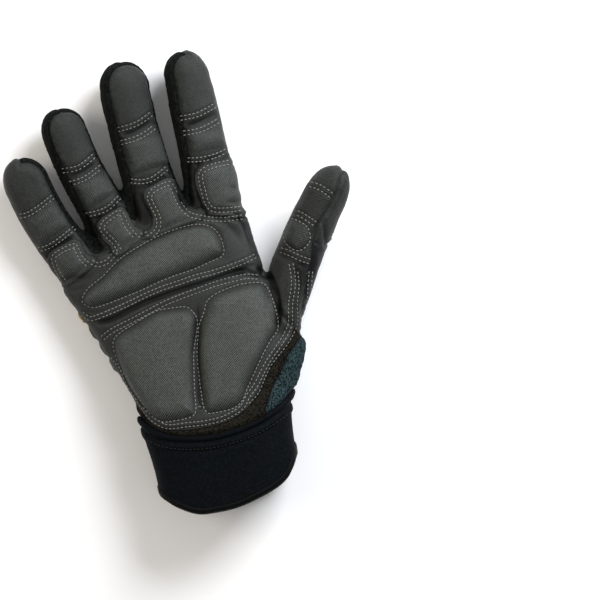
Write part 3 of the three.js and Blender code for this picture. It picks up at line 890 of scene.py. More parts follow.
CRESCENT = ((-54.6, 28.3), (-52.5, 24.6), (-48.3, 22.8), (-40, 23.5), (-30, 25.2), (-20, 27.1),
    (-10, 29.6), (0, 31.3), (10, 32.5), (20, 34.8), (26.7, 36.5), (28.8, 40), (28, 48), (24, 54),
    (15, 57), (0, 56), (-15, 52), (-30, 46), (-40, 39.2), (-50, 33.8))
HEEL = ((-42.5, -4.2), (-42.3, 0.8), (-40.4, 4.2), (-35, 7.1), (-30, 8.8), (-20, 12.5),
    (-13.3, 14), (-6.7, 13.8), (0, 13.2), (3.3, 11.7), (5.8, 7.5), (6.3, 3.3), (4.6, -2.5),
    (2.1, -9.2), (0.4, -15), (-0.8, -21.7), (-2.1, -29.2), (-3.3, -37.5), (-4, -43.3),
    (-5.4, -46.7), (-9.2, -47.9), (-20, -47.9), (-25, -46.7), (-30, -42.1), (-33.3, -36.7),
    (-36.7, -30), (-39.6, -22.5), (-41.3, -14.2))
THENAR = ((1.7, -47.1), (0.4, -43.3), (0.7, -35), (1.3, -26.7), (1.8, -20), (2.9, -12.5), (5, -5),
    (6.7, 0.8), (9.2, 5), (11.7, 9.2), (13.3, 12.9), (16.7, 15.4), (21.7, 17.3), (30, 18.8),
    (36.7, 19), (43.3, 18.2), (47.5, 15.8), (49.6, 9.2), (50.4, 0), (49.6, -9.2), (44.2, -15),
    (39.2, -20.8), (34.2, -27.5), (30, -33.3), (25.8, -39.2), (22.5, -44.2), (18.3, -47.1),
    (11.7, -48.2), (3.3, -47.9))
THUMB_OVAL = ((64.5, 43.5), (68.8, 49), (72.5, 47.3), (75.9, 44.2), (77.5, 41.1), (77.5, 37.6),
    (76.3, 34.2), (73.1, 31.7), (69.4, 30.8), (66.3, 32.6), (63.8, 35.8), (62.8, 39.5))
INDEX_PATCH = ((44, 88.5), (35, 88.3), (28.3, 87.4), (24, 85), (22.8, 80), (23, 75.4), (23.5, 68),
    (26.3, 62.5), (34, 60.3), (43, 59.5))
MIDDLE_PATCH = ((-10.2, 56.6), (-7.2, 58.3), (-5.1, 61.5), (-5, 66.5), (-6.9, 73.3), (-7.2, 77),
    (-4.8, 80.6), (0.5, 82.6), (6.2, 83.4), (8.5, 80), (9.5, 75.4), (11, 69.6), (14.3, 64.3),
    (19, 61.8))
RING_PATCH = ((-29.5, 50.5), (-31.2, 55.2), (-34.4, 60), (-36.4, 63.8), (-36.4, 66.5), (-34, 69.2),
    (-28.5, 72), (-24, 73), (-21.8, 70), (-21.3, 65.8), (-19.3, 61), (-17.2, 57.6))
LITTLE_PATCH = ((-63.5, 39.8), (-65.9, 46.5), (-66.9, 52.3), (-65.9, 56), (-62.1, 58),
    (-56.3, 59.6), (-52, 59.8), (-50.6, 56.2), (-49.1, 51.3), (-46.2, 47.5))

PADS = (
    Pad("crescent_pad", 3.7, 3.6, CRESCENT),
    Pad("heel_pad", 3.8, 3.8, HEEL),
    Pad("thenar_pad", 3.9, 3.8, THENAR),
    Pad("index_base_pad", 1.5, 2.6, INDEX_PATCH),
    Pad("middle_base_pad", 1.5, 2.6, MIDDLE_PATCH),
    Pad("ring_base_pad", 1.5, 2.6, RING_PATCH),
    Pad("little_base_pad", 1.5, 2.6, LITTLE_PATCH),
    Pad("index_middle_pad", 1.5, 3.0, digit=INDEX, span=(0.465, 0.58)),
    Pad("middle_middle_pad", 1.5, 3.0, digit=MIDDLE, span=(0.425, 0.6)),
    Pad("ring_middle_pad", 1.5, 3.0, digit=RING, span=(0.43, 0.58)),
    Pad("little_middle_pad", 1.5, 3.0, digit=LITTLE, span=(0.52, 0.68)),
    Pad("thumb_patch_pad", 1.4, 2.6, THUMB_OVAL),
)
OVERLAYS = (INDEX_PATCH, MIDDLE_PATCH, RING_PATCH, LITTLE_PATCH)

# Gusset leather between the patches and the finger segments, which lies low and in shade.
GUSSETS = (
    ((18.4, 91), (27.3, 89.7), (35.3, 90.3), (43.2, 92.6), (43.3, 90), (35, 88.6), (27.8, 87.9),
        (24, 86.5), (21.8, 84.3), (20.8, 80.1), (21.4, 73.9), (22.6, 66.7), (25.1, 61.8),
        (17.9, 65), (14.9, 71.7), (16.9, 83.6)),
    ((-14.3, 85.2), (-9, 83.2), (-2, 83.5), (7.2, 89.9), (8, 87.1), (2.8, 85.6), (-3.6, 84.3),
        (-7.9, 82.1), (-9.4, 79.3), (-8.1, 74.7), (-6.7, 69.2), (-6.1, 65.5), (-8.3, 63.4),
        (-12.4, 62.5), (-15.9, 66.7), (-16, 74.6)),
    ((-43.5, 72.8), (-36.7, 71.8), (-29.4, 73.4), (-22.9, 79.5), (-21.6, 77.5), (-25.6, 74.8),
        (-31.2, 73.3), (-35.1, 71.1), (-37.4, 68.5), (-37.9, 65.9), (-35.6, 60.2), (-42.3, 61.6),
        (-43.2, 67.9)),
    ((-74.6, 60.8), (-70.8, 58.6), (-65.7, 60.4), (-57.7, 62.6), (-52.4, 65.3), (-51.7, 63.7),
        (-56.8, 61.9), (-64.5, 59.2), (-67.2, 57.4), (-67.9, 51.9), (-69.5, 55.5)),
    ((66.1, 23.7), (73.7, 22.1), (72.9, 18.3), (69.7, 12.4), (67.4, 10.9), (65.4, 14),
        (64.4, 18.8)),
)


@dataclass(frozen=True)
class Row:
    """Rows of thread along a plan line, with the sideways place of each row beside it."""

    group: str
    points: Points
    beside: tuple[float, ...] = (0.0,)
    closed: bool = False
    side: Side = Side.PALM
    sunk: float = 0.45  # how deep its thread pulls the leather in

    def lines(self) -> list[np.ndarray]:
        """The plan line of each row."""
        return [beside(curve(self.points, self.closed), d) for d in self.beside]


ROWS = (
    Row("palm", CRESCENT, closed=True),
    Row("palm", HEEL, closed=True),
    Row("palm", THENAR, closed=True),
    Row("palm", ((-3.5, -42.5), (0, -43.8))),
    Row("palm", ((-55.8, 22), (-53, 19), (-50, 18.2), (-40, 19.8), (-30, 22), (-20, 24.6),
        (-10, 26.7), (0, 27.9), (10, 29.3), (20, 29.8), (30, 31), (38, 32.3), (45.4, 34.2)),
        (0, -2.2)),
    Row("palm", ((-48.8, 5.8), (-45, 7.9), (-40, 9.8), (-30, 12.5), (-20, 15.4), (-10, 18.3),
        (0, 20.2), (10, 21.7), (20, 23.2), (30, 23.9), (38, 23.9), (45, 22.1)), (0, -2.4)),
    Row("palm", ((-45.4, -5.8), (-42.5, -12), (-38.8, -18.3), (-35.8, -26.7), (-32.5, -35),
        (-29.2, -42.5), (-24.2, -47.5), (-20, -49.6), (-10, -50.4), (0, -51.3), (10, -50.8),
        (20, -47.5), (25, -42), (30.8, -36.5), (35.8, -30), (40.8, -24.2), (46.7, -18.6),
        (51.7, -13.4), (55.8, -7.5), (57.2, -1), (58.8, 5), (61, 10.5), (62.5, 17), (62.9, 25)),
        (0, -2.2)),
    Row("palm", ((24, -45.8), (30.8, -41), (35.8, -33.6), (40.8, -27.4), (46.7, -22.3),
        (52.5, -17.2), (56.9, -12), (59.8, -6.7), (60.8, 0), (62.6, 6.7), (64.4, 12.5),
        (65.2, 20)), (-1.6,)),
    Row("finger", INDEX_PATCH, (0, 2.3)),
    Row("finger", MIDDLE_PATCH, (0, -2.3)),
    Row("finger", RING_PATCH, (0, -2.3)),
    Row("finger", LITTLE_PATCH, (0, -2.3)),
    Row("finger", ((-46.2, 47.5), (-43.5, 45.3), (-41, 44.6), (-35.2, 45.8), (-29.5, 50.5)),
        (0, 2.2)),
    Row("finger", ((-17.2, 57.6), (-15.5, 55.8), (-13.4, 55.4), (-10.2, 56.6)), (0, 2.2)),
    Row("finger", ((19, 61.8), (25.4, 59.2), (34, 57.4), (43, 57)), (0, -2.2)),
    Row("finger", ((19.3, 118), (27, 117.7), (34, 119.2), (42, 122.2)), (0, -2.3)),
    Row("finger", ((19.3, 109.5), (27, 109), (34, 110.4), (42, 113.4)), (0, -2.3)),
    Row("finger", ((18.6, 94.4), (25, 93.2), (31.2, 93.1), (37, 94), (43.6, 96)), (0, -2.2)),
    Row("finger", ((-16.5, 118.7), (-8.3, 119.1), (-1.5, 121.1), (6, 125)), (0, -2.2)),
    Row("finger", ((-16.2, 111.2), (-8.3, 111.5), (-1.5, 113.4), (6, 117.2)), (0, -2.2)),
    Row("finger", ((-14.8, 89.4), (-8.3, 87.4), (-1.5, 88.2), (8.4, 93.4)), (0, -2.1)),
    Row("finger", ((-51.4, 102.5), (-43.8, 102.1), (-38.1, 103.8), (-30.4, 108.6)), (0, -2.3)),
    Row("finger", ((-49, 94.6), (-41.9, 95), (-36.2, 96.9), (-29.2, 100.6)), (0, -2.1)),
    Row("finger", ((-43.8, 75.6), (-37.1, 75.5), (-30.4, 76.9), (-22.8, 81.8)), (0, -2.1)),
    Row("finger", ((-82, 83), (-75.6, 82.3), (-68.8, 84.5), (-59, 89.4)), (0, -2.2)),
    Row("finger", ((-75.6, 63.4), (-73, 62.1), (-67.9, 62.2), (-60.2, 64.9), (-50.8, 70)),
        (0, -2.0)),
    Row("thumb", ((83.4, 67.4), (87.5, 65.2), (91.3, 62), (95, 57.8)), (0, -2.8)),
    Row("thumb", ((71.2, 54.3), (75.6, 51.4), (78.8, 48.3), (83, 44)), (0, -2.5)),
    Row("thumb", THUMB_OVAL, closed=True),
    Row("thumb", ((60, 34.8), (65, 31.7), (70, 27.9), (75.6, 24.6)), (0, -2.6)),
    Row("thumb", ((74.9, 18.3), (73.8, 14.5), (72.5, 10.1), (70.9, 3.9), (68.8, -1.1),
        (67.1, -6.8), (66.7, -11.8), (66.7, -16.6)), (0, -1.9)),
    Row("thumb", ((95.4, 31), (93.6, 28), (93.4, 19.5), (94, 14.5), (96, 11.8), (98.6, 12.4))),
    Row("thumb", ((96.4, 24), (95.4, 20.5), (95.6, 17))),
    Row("thumb", ((84, -16.4), (85.4, -14), (88.1, -12), (91.6, -10.8)), (0, -2)),
    Row("back", ((46.5, 112), (44.5, 100), (43.6, 88), (43.2, 70), (42.4, 52), (41.2, 36),
        (37.5, 20), (33, 6), (29.2, -1.6)), (0, -2.2), side=Side.BACK),
    Row("back", ((30.5, -1.2), (40, -1), (57, 2.4), (66, 1), (76, -3.5), (88, -9)), (0, 2.2),
        side=Side.BACK),
    Row("back", ((56, 30), (60, 22), (67, 19), (74, 22), (78, 30)), (0, -2.2), side=Side.BACK),
)


@dataclass(frozen=True)
class Relief:
    """How padding, thread, patches, gussets and swells stand on the smooth skin or sink into it."""

    turned: Size = (-0.15, 0.2)  # upright part of a normal where a side begins and is whole
    pad_power: float = 1.6
    row_width: float = 0.95
    row_reach: float = 3.5
    fold_reach: float = 3.0  # in widths of the fold
    fold_ends: Size = (-1.0, 6.0)  # distances from its ends over which a fold deepens
    patch_border: float = 2.2  # how far a patch reaches past its stitching
    patch_height: float = 0.75
    patch_edge: float = 0.5
    groove: tuple[float, float, float] = (0.55, 0.9, 0.6)  # round a patch: depth, place and width
    gusset_edge: Size = (-0.6, 0.8)
    gusset_depth: float = 0.5
    swells: tuple[tuple[int, float, object], ...] = (  # seed, height and size of each
        (3, 0.32, 15), (7, 0.16, (7, 5, 7)), (11, 0.07, 2.6))
    stiff: Size = (-72, -50)  # places along the hand between which the cuff's calm gives way
    calm: float = 0.35  # share of the swells that the cuff has
    border_width: float = 1.15  # of the sewn border of a panel
    swell_place: Size = (3.0, 1.5)  # where a panel stands up beside that border, and how widely
    pucker: tuple[float, float, Size] = (0.28, 1.9, (1.2, 2.2))  # height, size, place and width


RELIEF = Relief()


@dataclass(frozen=True)
class Fold:
    """A crease, or a low ridge where its depth is below zero, along a plan line."""

    points: Points
    depth: float
    width: float
    side: Side = Side.PALM


FOLDS = (
    Fold(((-52, 15), (-46, 14.2), (-40, 14.6), (-30, 17.4), (-20, 20), (-10, 21.6), (0, 23),
        (12.5, 24.2), (23, 25.4), (34, 26.8), (42, 27)), 2.1, 1.45),
    Fold(((30, 26.8), (38, 25.6), (45, 22.6), (52, 19)), 1.5, 1.8),
    Fold(((34, 29.5), (40, 28.8), (46, 27)), 0.8, 1.3),
    Fold(((8.5, 13.5), (7.4, 7), (5.6, 0), (3.6, -8), (1.6, -18), (0.2, -28), (-1.4, -38),
        (-2, -46)), 1.5, 1.6),
    Fold(((-60, 26), (-50, 20.4), (-40, 21.4), (-30, 23.6)), 0.5, 1.0),
    Fold(((20, 112.2), (27, 112), (34, 113.4), (43, 116.6)), 1.7, 2.2),
    Fold(((-16, 113.8), (-8, 114.1), (-1.5, 115.9), (6.5, 119.9)), 1.7, 2.2),
    Fold(((-50, 97.4), (-43, 97.5), (-36, 99.4), (-29, 103.5)), 1.7, 2.1),
    Fold(((18.5, 90), (25, 89.4), (31, 89.6), (43, 91.8)), 0.9, 1.5),
    Fold(((-13, 83.6), (-7, 83.8), (-1, 85), (7, 88)), 1.2, 1.7),
    Fold(((-42, 71.6), (-36, 71.6), (-29, 74), (-22, 77)), 1.1, 1.6),
    Fold(((-73, 58.6), (-68, 59.6), (-60, 61.4), (-51, 65.6)), 1.2, 1.5),
    Fold(((35, 74), (39, 73), (45, 71)), 0.7, 1.6),
    Fold(((33, 66.5), (38, 64.8), (46, 63.5)), 0.8, 1.5),
    Fold(((25, 64), (29, 57), (35, 51), (40, 42)), 0.7, 2.0),
    Fold(((20, 60), (22, 66), (20, 74)), 0.8, 1.8),
    Fold(((-8, 74), (-9.5, 66), (-13, 60)), 0.8, 1.8),
    Fold(((-38, 57), (-34, 51), (-33, 46)), 0.9, 2.0),
    Fold(((-64, 44), (-58, 41.6), (-50, 40.6), (-44, 42)), 0.9, 1.6),
    Fold(((-62, 35.6), (-55, 34.6), (-48, 36)), 0.6, 1.4),
    Fold(((56, 33), (61, 29.4), (66, 25.4), (73, 20.6)), 0.9, 1.6),
    Fold(((43.9, 27.6), (47.8, 24.2), (50.8, 19.6), (51.6, 12.3), (52, 5), (51.4, -2.8),
        (49, -10.1)), 2.6, 1.4),
    Fold(((36.6, 58.6), (39, 57.7), (42, 52.7), (43.9, 44.3), (45.6, 35.2)), 1.4, 1.0),
    Fold(((66, 24), (64.6, 17), (66, 9), (64, 0)), 0.8, 1.6),
    Fold(((70, 20), (69, 12), (66.4, 4)), 0.6, 1.4),
    Fold(((47, 20), (52, 13), (53.4, 4), (52.4, -6)), 0.8, 2.0),
    Fold(((86.6, 46.4), (86, 40), (85, 33), (84.6, 28)), 0.9, 1.1),
    Fold(((76, 36), (80, 40), (83.5, 46)), 0.5, 1.2),
    Fold(((74, -14), (80, -8), (88, -5), (95, -6)), 0.6, 2.4),
    Fold(((72, 30), (80, 22), (86, 12), (88, 2)), -0.5, 4.0),
    Fold(((-30, -64), (-10, -70), (12, -70), (34, -64)), -0.3, 3.0),
)


class Layout:
    """Lays the panels out on the skin, and works the padding, seams and folds into it."""

    MIDDLE_LINE = ((-40, 0, 50), (5, 0, -8))  # places along the hand, and where its middle is there
    WRAP_HEIGHTS = (4, 17)  # between these heights the skin turns round the hand's sides
    WRAP_SHARE = 0.8
    ROUND_SHARE = 0.47  # of a digit's width, as the radius that its weave goes round
    NEAR_SHARE = 0.64  # of a digit's width, within which the skin is its own
    BEFORE_PAD = 0.03  # share of a finger by which its own weave starts before its middle pad
    EDGE_REACH = 12.0  # distance to a seam past which the finishes see none
    ROW_FULL, PAD_FULL, FOLD_FULL = 0.5, 4, 1.6  # depths and height at which the finishes' painted shade and highlight are whole
    GUSSET_SHADE = 0.9
    FLOORS = (0.02, 0.01)  # lowest height of a panel and of a piece that lies on the panels
    COVER_REACH = -2.5  # triangles further outside a laid piece are dropped before it is cut
    EVERYWHERE = 50.0

    def __init__(self, form: HandForm) -> None:
        """Lofts the skin and gives its points their places and areas.

        Args:
            form: the hand that the glove follows.
        """
        points, triangles = form.build()
        self.spines = form.spines
        self.skin = Skin(points, triangles)
        self.at = {name: spine.coordinates(points) for name, spine in self.spines.items()}
        self.areas = self.panel_areas()
        self.skin.put_many({f"area_{name}": values for name, values in self.areas.items()})
        self.relief()
        self.whole = self.skin.copy()
        self.numbers: dict[str, int] = {}
        self.surfaces: list[tuple[np.ndarray, np.ndarray]] = []
        self.cut_panels()

    def finger_side(self, digit: Digit) -> np.ndarray:
        """Field of the palm's side of one finger.

        Args:
            digit: the finger.

        Returns:
            One value a point.
        """
        a, u, s = self.at[digit.name]
        left = -STRIP_HALF if digit is LITTLE else STRIP_HALF
        right = -STRIP_HALF if digit is INDEX else STRIP_HALF
        seam = left + (right - left) * smooth(a, -CROSSING, CROSSING)
        return both(u - seam, DIGIT_OVER - u, self.digit_zone(digit, np.abs(a), s))

    @staticmethod
    def digit_zone(digit: Digit, a: np.ndarray, s: np.ndarray) -> np.ndarray:
        """Field of a digit's reach: to its sides, back into the hand and past its tip.

        Args:
            digit: the finger.
            a: how far points lie across.
            s: their shares along it.

        Returns:
            One value a point.
        """
        return both(SIDE_WEIGHT * (digit.width / 2 + DIGIT_MARGIN - a),
                    (s - digit.base + BEFORE_BASE) * digit.length, (PAST_TIP - s) * digit.length)

    def strip(self, right: Digit, left: Digit, notch: Size) -> np.ndarray:
        """Field of the black strip between two fingers, with its notch in the back of the hand.

        Args:
            right: the finger on its thumb side.
            left: the other finger.
            notch: where its notch ends.

        Returns:
            One value a point.
        """
        p = self.skin.points
        legs = []
        for digit, sign in ((right, -1), (left, 1)):
            a, u, s = self.at[digit.name]
            legs.append(both(sign * a, STRIP_HALF - np.abs(u), self.digit_zone(digit, sign * a, s)))
        ends = [self.spines[d.name].frames(np.array([d.base + BEFORE_BASE]))[0][0, :2]
                for d in (right, left)]
        web = (ends[0] + ends[1]) / 2
        end_half, web_half = NOTCH_HALF
        wedge = np.array([(notch[0] - end_half, notch[1]), (notch[0] + end_half, notch[1]),
                          (web[0] + web_half, web[1]), (web[0] - web_half, web[1])])
        back = both(area_field(p, wedge), SIDE_SEAM + STRIP_HALF - p[:, 2])
        return either(either(*legs), back, 2)

    def panel_areas(self) -> dict[str, np.ndarray]:
        """Fields of all the panels, in the order in which they are cut.

        Returns:
            One field a panel, by name.
        """
        p = self.skin.points
        below = SIDE_SEAM - p[:, 2]
        areas = {
            "open_end": -height_over(p, curve(CUFF_EDGE)),
            "vent": both(slot_field(p, VENT_PLACE, VENT_SIZE, 90), below),
            "cuff": -height_over(p, curve(CUFF_TOP)),
        }
        for right, left, notch in zip(FINGERS, FINGERS[1:], WEB_NOTCHES):
            areas[f"{right.name}_strip"] = self.strip(right, left, notch)
        zone, back, front, terry, terry_back = (
            area_field(p, np.array(outline, float))
            for outline in (THUMB_ZONE, THUMB_BACK, THUMB_FRONT, TERRY_PALM, TERRY_BACK))
        a, _, s = self.at["thumb"]
        spine_z = self.spines["thumb"].frames(s)[0][:, 2]
        under, weight = THUMB_SEAM
        front = both(front, (p[:, 2] - spine_z + under) * weight, (PAST_TIP - s) * THUMB.length)
        areas["thumb_patch_pad"] = both(self.pad_area(PADS[-1]), front)
        areas["thumb_front"] = front
        whole_back = either(zone, both(back, below), 1)
        start, slant = THUMB_TIP
        areas["thumb_tip"] = both(whole_back, (s - start) * THUMB.length + slant * a)
        areas["thumb_back"] = whole_back
        areas["terry_patch"] = either(terry, both(terry_back, below), 1)
        palm = both(-below, area_field(p, np.array(PALM_OUTLINE, float), reach=60))
        for digit in FINGERS:
            palm = either(palm, self.finger_side(digit), 3)
        for pad in PADS[:-1]:
            areas[pad.name] = both(self.pad_area(pad), palm)
        heel = -height_over(p, curve(HEEL_LINE))
        areas["heel_strip"] = both(palm, heel)
        areas["palm_leather"] = palm
        for digit in FINGERS:
            a, u, s = self.at[digit.name]
            start = 1 - digit.cap / digit.length
            side = SIDE_WEIGHT * (digit.width / 2 + DIGIT_MARGIN - np.abs(a))
            areas[f"{digit.name}_cap"] = both((s - start) * digit.length, STRIP_HALF * 2 - u, side)
        band = -height_over(p, curve(BAND_LINE))
        piping = height_over(p, curve(PIPING_LINE))
        areas["knuckle_band"] = both(band, piping)
        areas["back_panel"] = -piping
        areas["back_mesh"] = np.full(len(p), self.EVERYWHERE)  # all that is left
        return areas

    def pad_area(self, pad: Pad) -> np.ndarray:
        """Field of one pad, without the hand's sides.

        Args:
            pad: the pad.

        Returns:
            One value a point.
        """
        p = self.skin.points
        if pad.digit is None:
            outline = curve(pad.outline, closed=True, steps=6)
            return both(area_field(p, outline), p[:, 2] - SIDE_SEAM)
        a, u, s = self.at[pad.digit.name]
        return both((s - pad.span[0]) * pad.digit.length, (pad.span[1] - s) * pad.digit.length,
                    pad.digit.width * PAD_SHARE - np.abs(a), u)

    def quilting(self, channels: int = 4, height: float = 1.6,
                 valley: float = 1.7) -> np.ndarray:
        """Height of the knuckle band's sewn channels, which fan out from the piping to the mesh.

        Args:
            channels: how many there are.
            height: of their crowns.
            valley: width of the seams between.

        Returns:
            One height a point.
        """
        p = self.skin.points
        low, high = (np.interp(p[:, 0], *curve(line).T) for line in (PIPING_LINE, BAND_LINE))
        share = (p[:, 1] - low) / np.maximum(high - low, 4)
        place = share * channels
        gap = np.abs(place - np.round(place)) * (high - low) / channels
        within = (share > 0) & (share < 1)
        return np.where(within, height * (1 - hollow(gap, valley)), 0)

    def relief(self) -> None:
        """Works out how far each point stands out of the smooth skin."""
        skin = self.skin
        p, nz = skin.points, skin["normal_z"]
        facing = {side: smooth(side.value * nz, *RELIEF.turned) for side in Side}
        pads = np.zeros(len(p))
        for pad in PADS:
            rise = np.maximum(skin[f"area_{pad.name}"], 0)
            full = 1 - np.exp(-((rise / pad.ease) ** RELIEF.pad_power))
            pads = np.maximum(pads, pad.height * full * facing[Side.PALM])
        pads = np.maximum(pads, self.quilting() * facing[Side.BACK])
        rows = np.zeros(len(p))
        for row in ROWS:
            for line in row.lines():
                gap = line_distance(p, line, RELIEF.row_reach, closed=row.closed)
                sunk = row.sunk * hollow(gap, RELIEF.row_width)
                rows = np.maximum(rows, sunk * facing[row.side])
        folds = np.zeros(len(p))
        for fold in FOLDS:
            line = curve(fold.points)
            gap = line_distance(p, line, fold.width * RELIEF.fold_reach)
            ends = np.minimum(*(np.linalg.norm(p[:, :2] - line[k], axis=1) for k in (0, -1)))
            depth = fold.depth * hollow(gap, fold.width) * smooth(ends, *RELIEF.fold_ends)
            folds += depth * facing[fold.side]
        for outline in OVERLAYS:
            within = area_field(p, curve(outline, closed=True, steps=6)) + RELIEF.patch_border
            edge, (depth, place, width) = RELIEF.patch_edge, RELIEF.groove
            pads += RELIEF.patch_height * smooth(within, -edge, edge) * facing[Side.PALM]
            folds += depth * hollow(within + place, width) * facing[Side.PALM]
        gusset = np.zeros(len(p))
        for outline in GUSSETS:
            within = area_field(p, curve(outline, closed=True, steps=6))
            gusset = np.maximum(gusset, smooth(within, *RELIEF.gusset_edge))
        gusset *= facing[Side.PALM]
        folds += RELIEF.gusset_depth * gusset
        waves = sum(height * Noise(seed)(p, size) for seed, height, size in RELIEF.swells)
        waves = waves * (RELIEF.calm + (1 - RELIEF.calm) * smooth(p[:, 1], *RELIEF.stiff))
        skin.put_many(
            {"gusset": gusset, "pads": pads, "rows": rows, "folds": folds, "waves": waves})
        self.unroll()

    def unroll(self) -> None:
        """Gives the skin the flat coordinates in millimetres that weaves follow."""
        skin, p = self.skin, self.skin.points
        centre = np.interp(p[:, 1], *self.MIDDLE_LINE)
        low, high = self.WRAP_HEIGHTS
        wrapped = np.maximum(np.where(p[:, 2] > SIDE_SEAM, high - p[:, 2], p[:, 2] - low), 0)
        u = p[:, 0] + np.sign(p[:, 0] - centre) * wrapped * self.WRAP_SHARE
        v = p[:, 1].copy()
        for digit in (*FINGERS, THUMB):
            a, up, s = self.at[digit.name]
            around = np.arctan2(a, np.abs(up)) * digit.width * self.ROUND_SHARE
            if digit is THUMB:
                mine = (skin["area_thumb_front"] > 0) | (skin["area_thumb_back"] > 0)
            else:
                start = next(pad.span[0] for pad in PADS if pad.digit is digit) - self.BEFORE_PAD
                near = np.hypot(a, up) < digit.width * self.NEAR_SHARE
                mine = near & (s > np.where(up > 0, start, digit.flex))
            u, v = np.where(mine, around, u), np.where(mine, s * digit.length, v)
        skin.put_many({"weave_u": u, "weave_v": v})

    @staticmethod
    def marks(part: Skin, edge: np.ndarray, laid: bool = False) -> dict[str, np.ndarray]:
        """What the finishes read at a piece's points: seams, rows, crowns, creases and weave. All
        but the weave set painted shade and highlights, and the seams dust as well.

        Args:
            part: the piece's skin.
            edge: distance to its seams.
            laid: whether it lies on the panels.

        Returns:
            Values by name, one a point.
        """
        read = Layout
        marks = {"edge": np.minimum(edge, read.EDGE_REACH) / read.EDGE_REACH,
                 "weave_u": part["weave_u"], "weave_v": part["weave_v"]}
        if laid:
            return marks | {name: np.zeros(len(edge)) for name in ("sunk", "crown", "crease")}
        # rows, pad heights and folds set the painted shade in troughs and creases and the painted
        # highlight on pads
        crease = np.clip(part["folds"] / read.FOLD_FULL, 0, 1) + read.GUSSET_SHADE * part["gusset"]
        return marks | {"sunk": part["rows"] / read.ROW_FULL, "crown": part["pads"] / read.PAD_FULL,
                        "crease": crease}

    def cut_panels(self) -> None:
        """Cuts the skin into its panels, in order."""
        skin = self.skin
        for number, name in enumerate(self.areas, start=1):
            zone = skin.cut(skin[f"area_{name}"], skin.panel == 0)
            if name != "back_mesh":
                zone = skin.largest(zone)
            skin.panel[zone] = number
            self.numbers[name] = number

    def edge_of(self, part: Skin, name: str) -> np.ndarray:
        """Distance from a panel's points to the seams round it, leaving out the pads' borders.

        Args:
            part: the panel's skin.
            name: its name.

        Returns:
            One distance a point.
        """
        soft = {pad.name for pad in PADS}
        around = name
        if name in soft:
            around = "thumb_front" if name == PADS[-1].name else "palm_leather"
        edge = part[f"area_{around}"]
        for other in self.areas:
            if other == name:
                break
            if other not in soft:
                edge = np.minimum(edge, -part[f"area_{other}"])
        return np.maximum(edge, 0)

    def panel(self, name: str, wall: float = WALL, seam: float = 0.7, swell: float = 0.35,
              extra: Height | None = None) -> Shell:
        """One panel with its wall.

        Args:
            name: the panel.
            wall: its thickness.
            seam: how deep its sewn border lies.
            swell: how far it stands up beside that border.
            extra: further height from the panel's skin and its distance to the seams.

        Returns:
            The panel as a closed sheet.
        """
        part = self.skin.kept(self.skin.panel == self.numbers[name])
        n, edge = part.normals(), self.edge_of(part, name)
        height = part["pads"] - part["rows"] - part["folds"] + part["waves"]
        place, width = RELIEF.swell_place
        height = height - seam * hollow(edge, RELIEF.border_width)
        height = height + swell * hollow(edge - place, width)
        rise, size, (place, width) = RELIEF.pucker
        height = height + rise * Noise(13)(part.points, size) * hollow(edge - place, width)
        if extra is not None:
            height = height + extra(part, edge)
        outer = part.points + n * height[:, None]
        low = np.minimum(height, 0) - wall
        inner = part.points + n * low[:, None]
        for side in (outer, inner):
            side[:, 2] = np.maximum(side[:, 2], self.FLOORS[0])
        self.surfaces.append((outer, part.triangles))
        return Shell(outer, inner, part.triangles, self.marks(part, edge))

    def cover(self, values: np.ndarray, height: Height, base: float) -> Shell:
        """A piece that lies on the skin.

        Args:
            values: field of its area over the whole skin.
            height: its height from its skin and the distance to its own border.
            base: where its underside lies.

        Returns:
            The piece as a closed sheet.
        """
        part = self.whole.copy()
        part.put_many({"cover": values})
        part = part.kept((values[part.triangles] > self.COVER_REACH).any(1))
        part.refine()
        everything = np.ones(len(part.triangles), bool)
        part = part.kept(part.cut(part["cover"], everything, snap=0.03))
        n, edge = part.normals(), np.maximum(part["cover"], 0)
        ground = part["pads"] - part["rows"] - part["folds"] + part["waves"]
        outer = part.points + n * (ground + height(part, edge))[:, None]
        inner = part.points + n * (ground + base)[:, None]
        for side in (outer, inner):
            side[:, 2] = np.maximum(side[:, 2], self.FLOORS[1])
        self.surfaces.append((outer, part.triangles))
        return Shell(outer, inner, part.triangles, self.marks(part, edge, laid=True))


def slot_field(points: np.ndarray, place: Size, size: Size, lean: float) -> np.ndarray:
    """Field of a round-ended slot.

    Args:
        points: places whose plan position counts.
        place: the slot's middle.
        size: its width and length.
        lean: its length's turn from +X in degrees.

    Returns:
        One value a point, above zero within the slot.
    """
    turn = math.radians(lean)
    rel = points[:, :2] - np.array(place)
    along = rel @ np.array([math.cos(turn), math.sin(turn)])
    across = rel @ np.array([-math.sin(turn), math.cos(turn)])
    past = np.maximum(np.abs(along) - (size[1] - size[0]) / 2, 0)
    return size[0] / 2 - np.hypot(past, across)


# Finishes

Socket = bpy.types.NodeSocket
Tree = bpy.types.NodeTree
ONE_WAVE = 0.314  # Scale at which a wave texture has one band to a unit


def linear(code: str) -> tuple[float, float, float, float]:
    """An sRGB hex colour as linear numbers."""
    parts = [int(code[k:k + 2], 16) / 255 for k in (1, 3, 5)]
    return (*(c / 12.92 if c <= 0.04045 else ((c + 0.055) / 1.055) ** 2.4 for c in parts), 1.0)


def add(tree: Tree, kind: str, sockets: dict[str | int, object] | None = None,
        **settings: object) -> bpy.types.Node:
    """Adds a node.

    Args:
        tree: the material's tree.
        kind: the node's type, without its ShaderNode prefix.
        sockets: values or other nodes' outputs for its inputs.
        settings: its properties.

    Returns:
        The node.
    """
    made = tree.nodes.new("ShaderNode" + kind)
    for key, value in settings.items():
        setattr(made, key, value)
    for key, value in (sockets or {}).items():
        if isinstance(value, Socket):
            tree.links.new(value, made.inputs[key])
        else:
            made.inputs[key].default_value = value
    return made


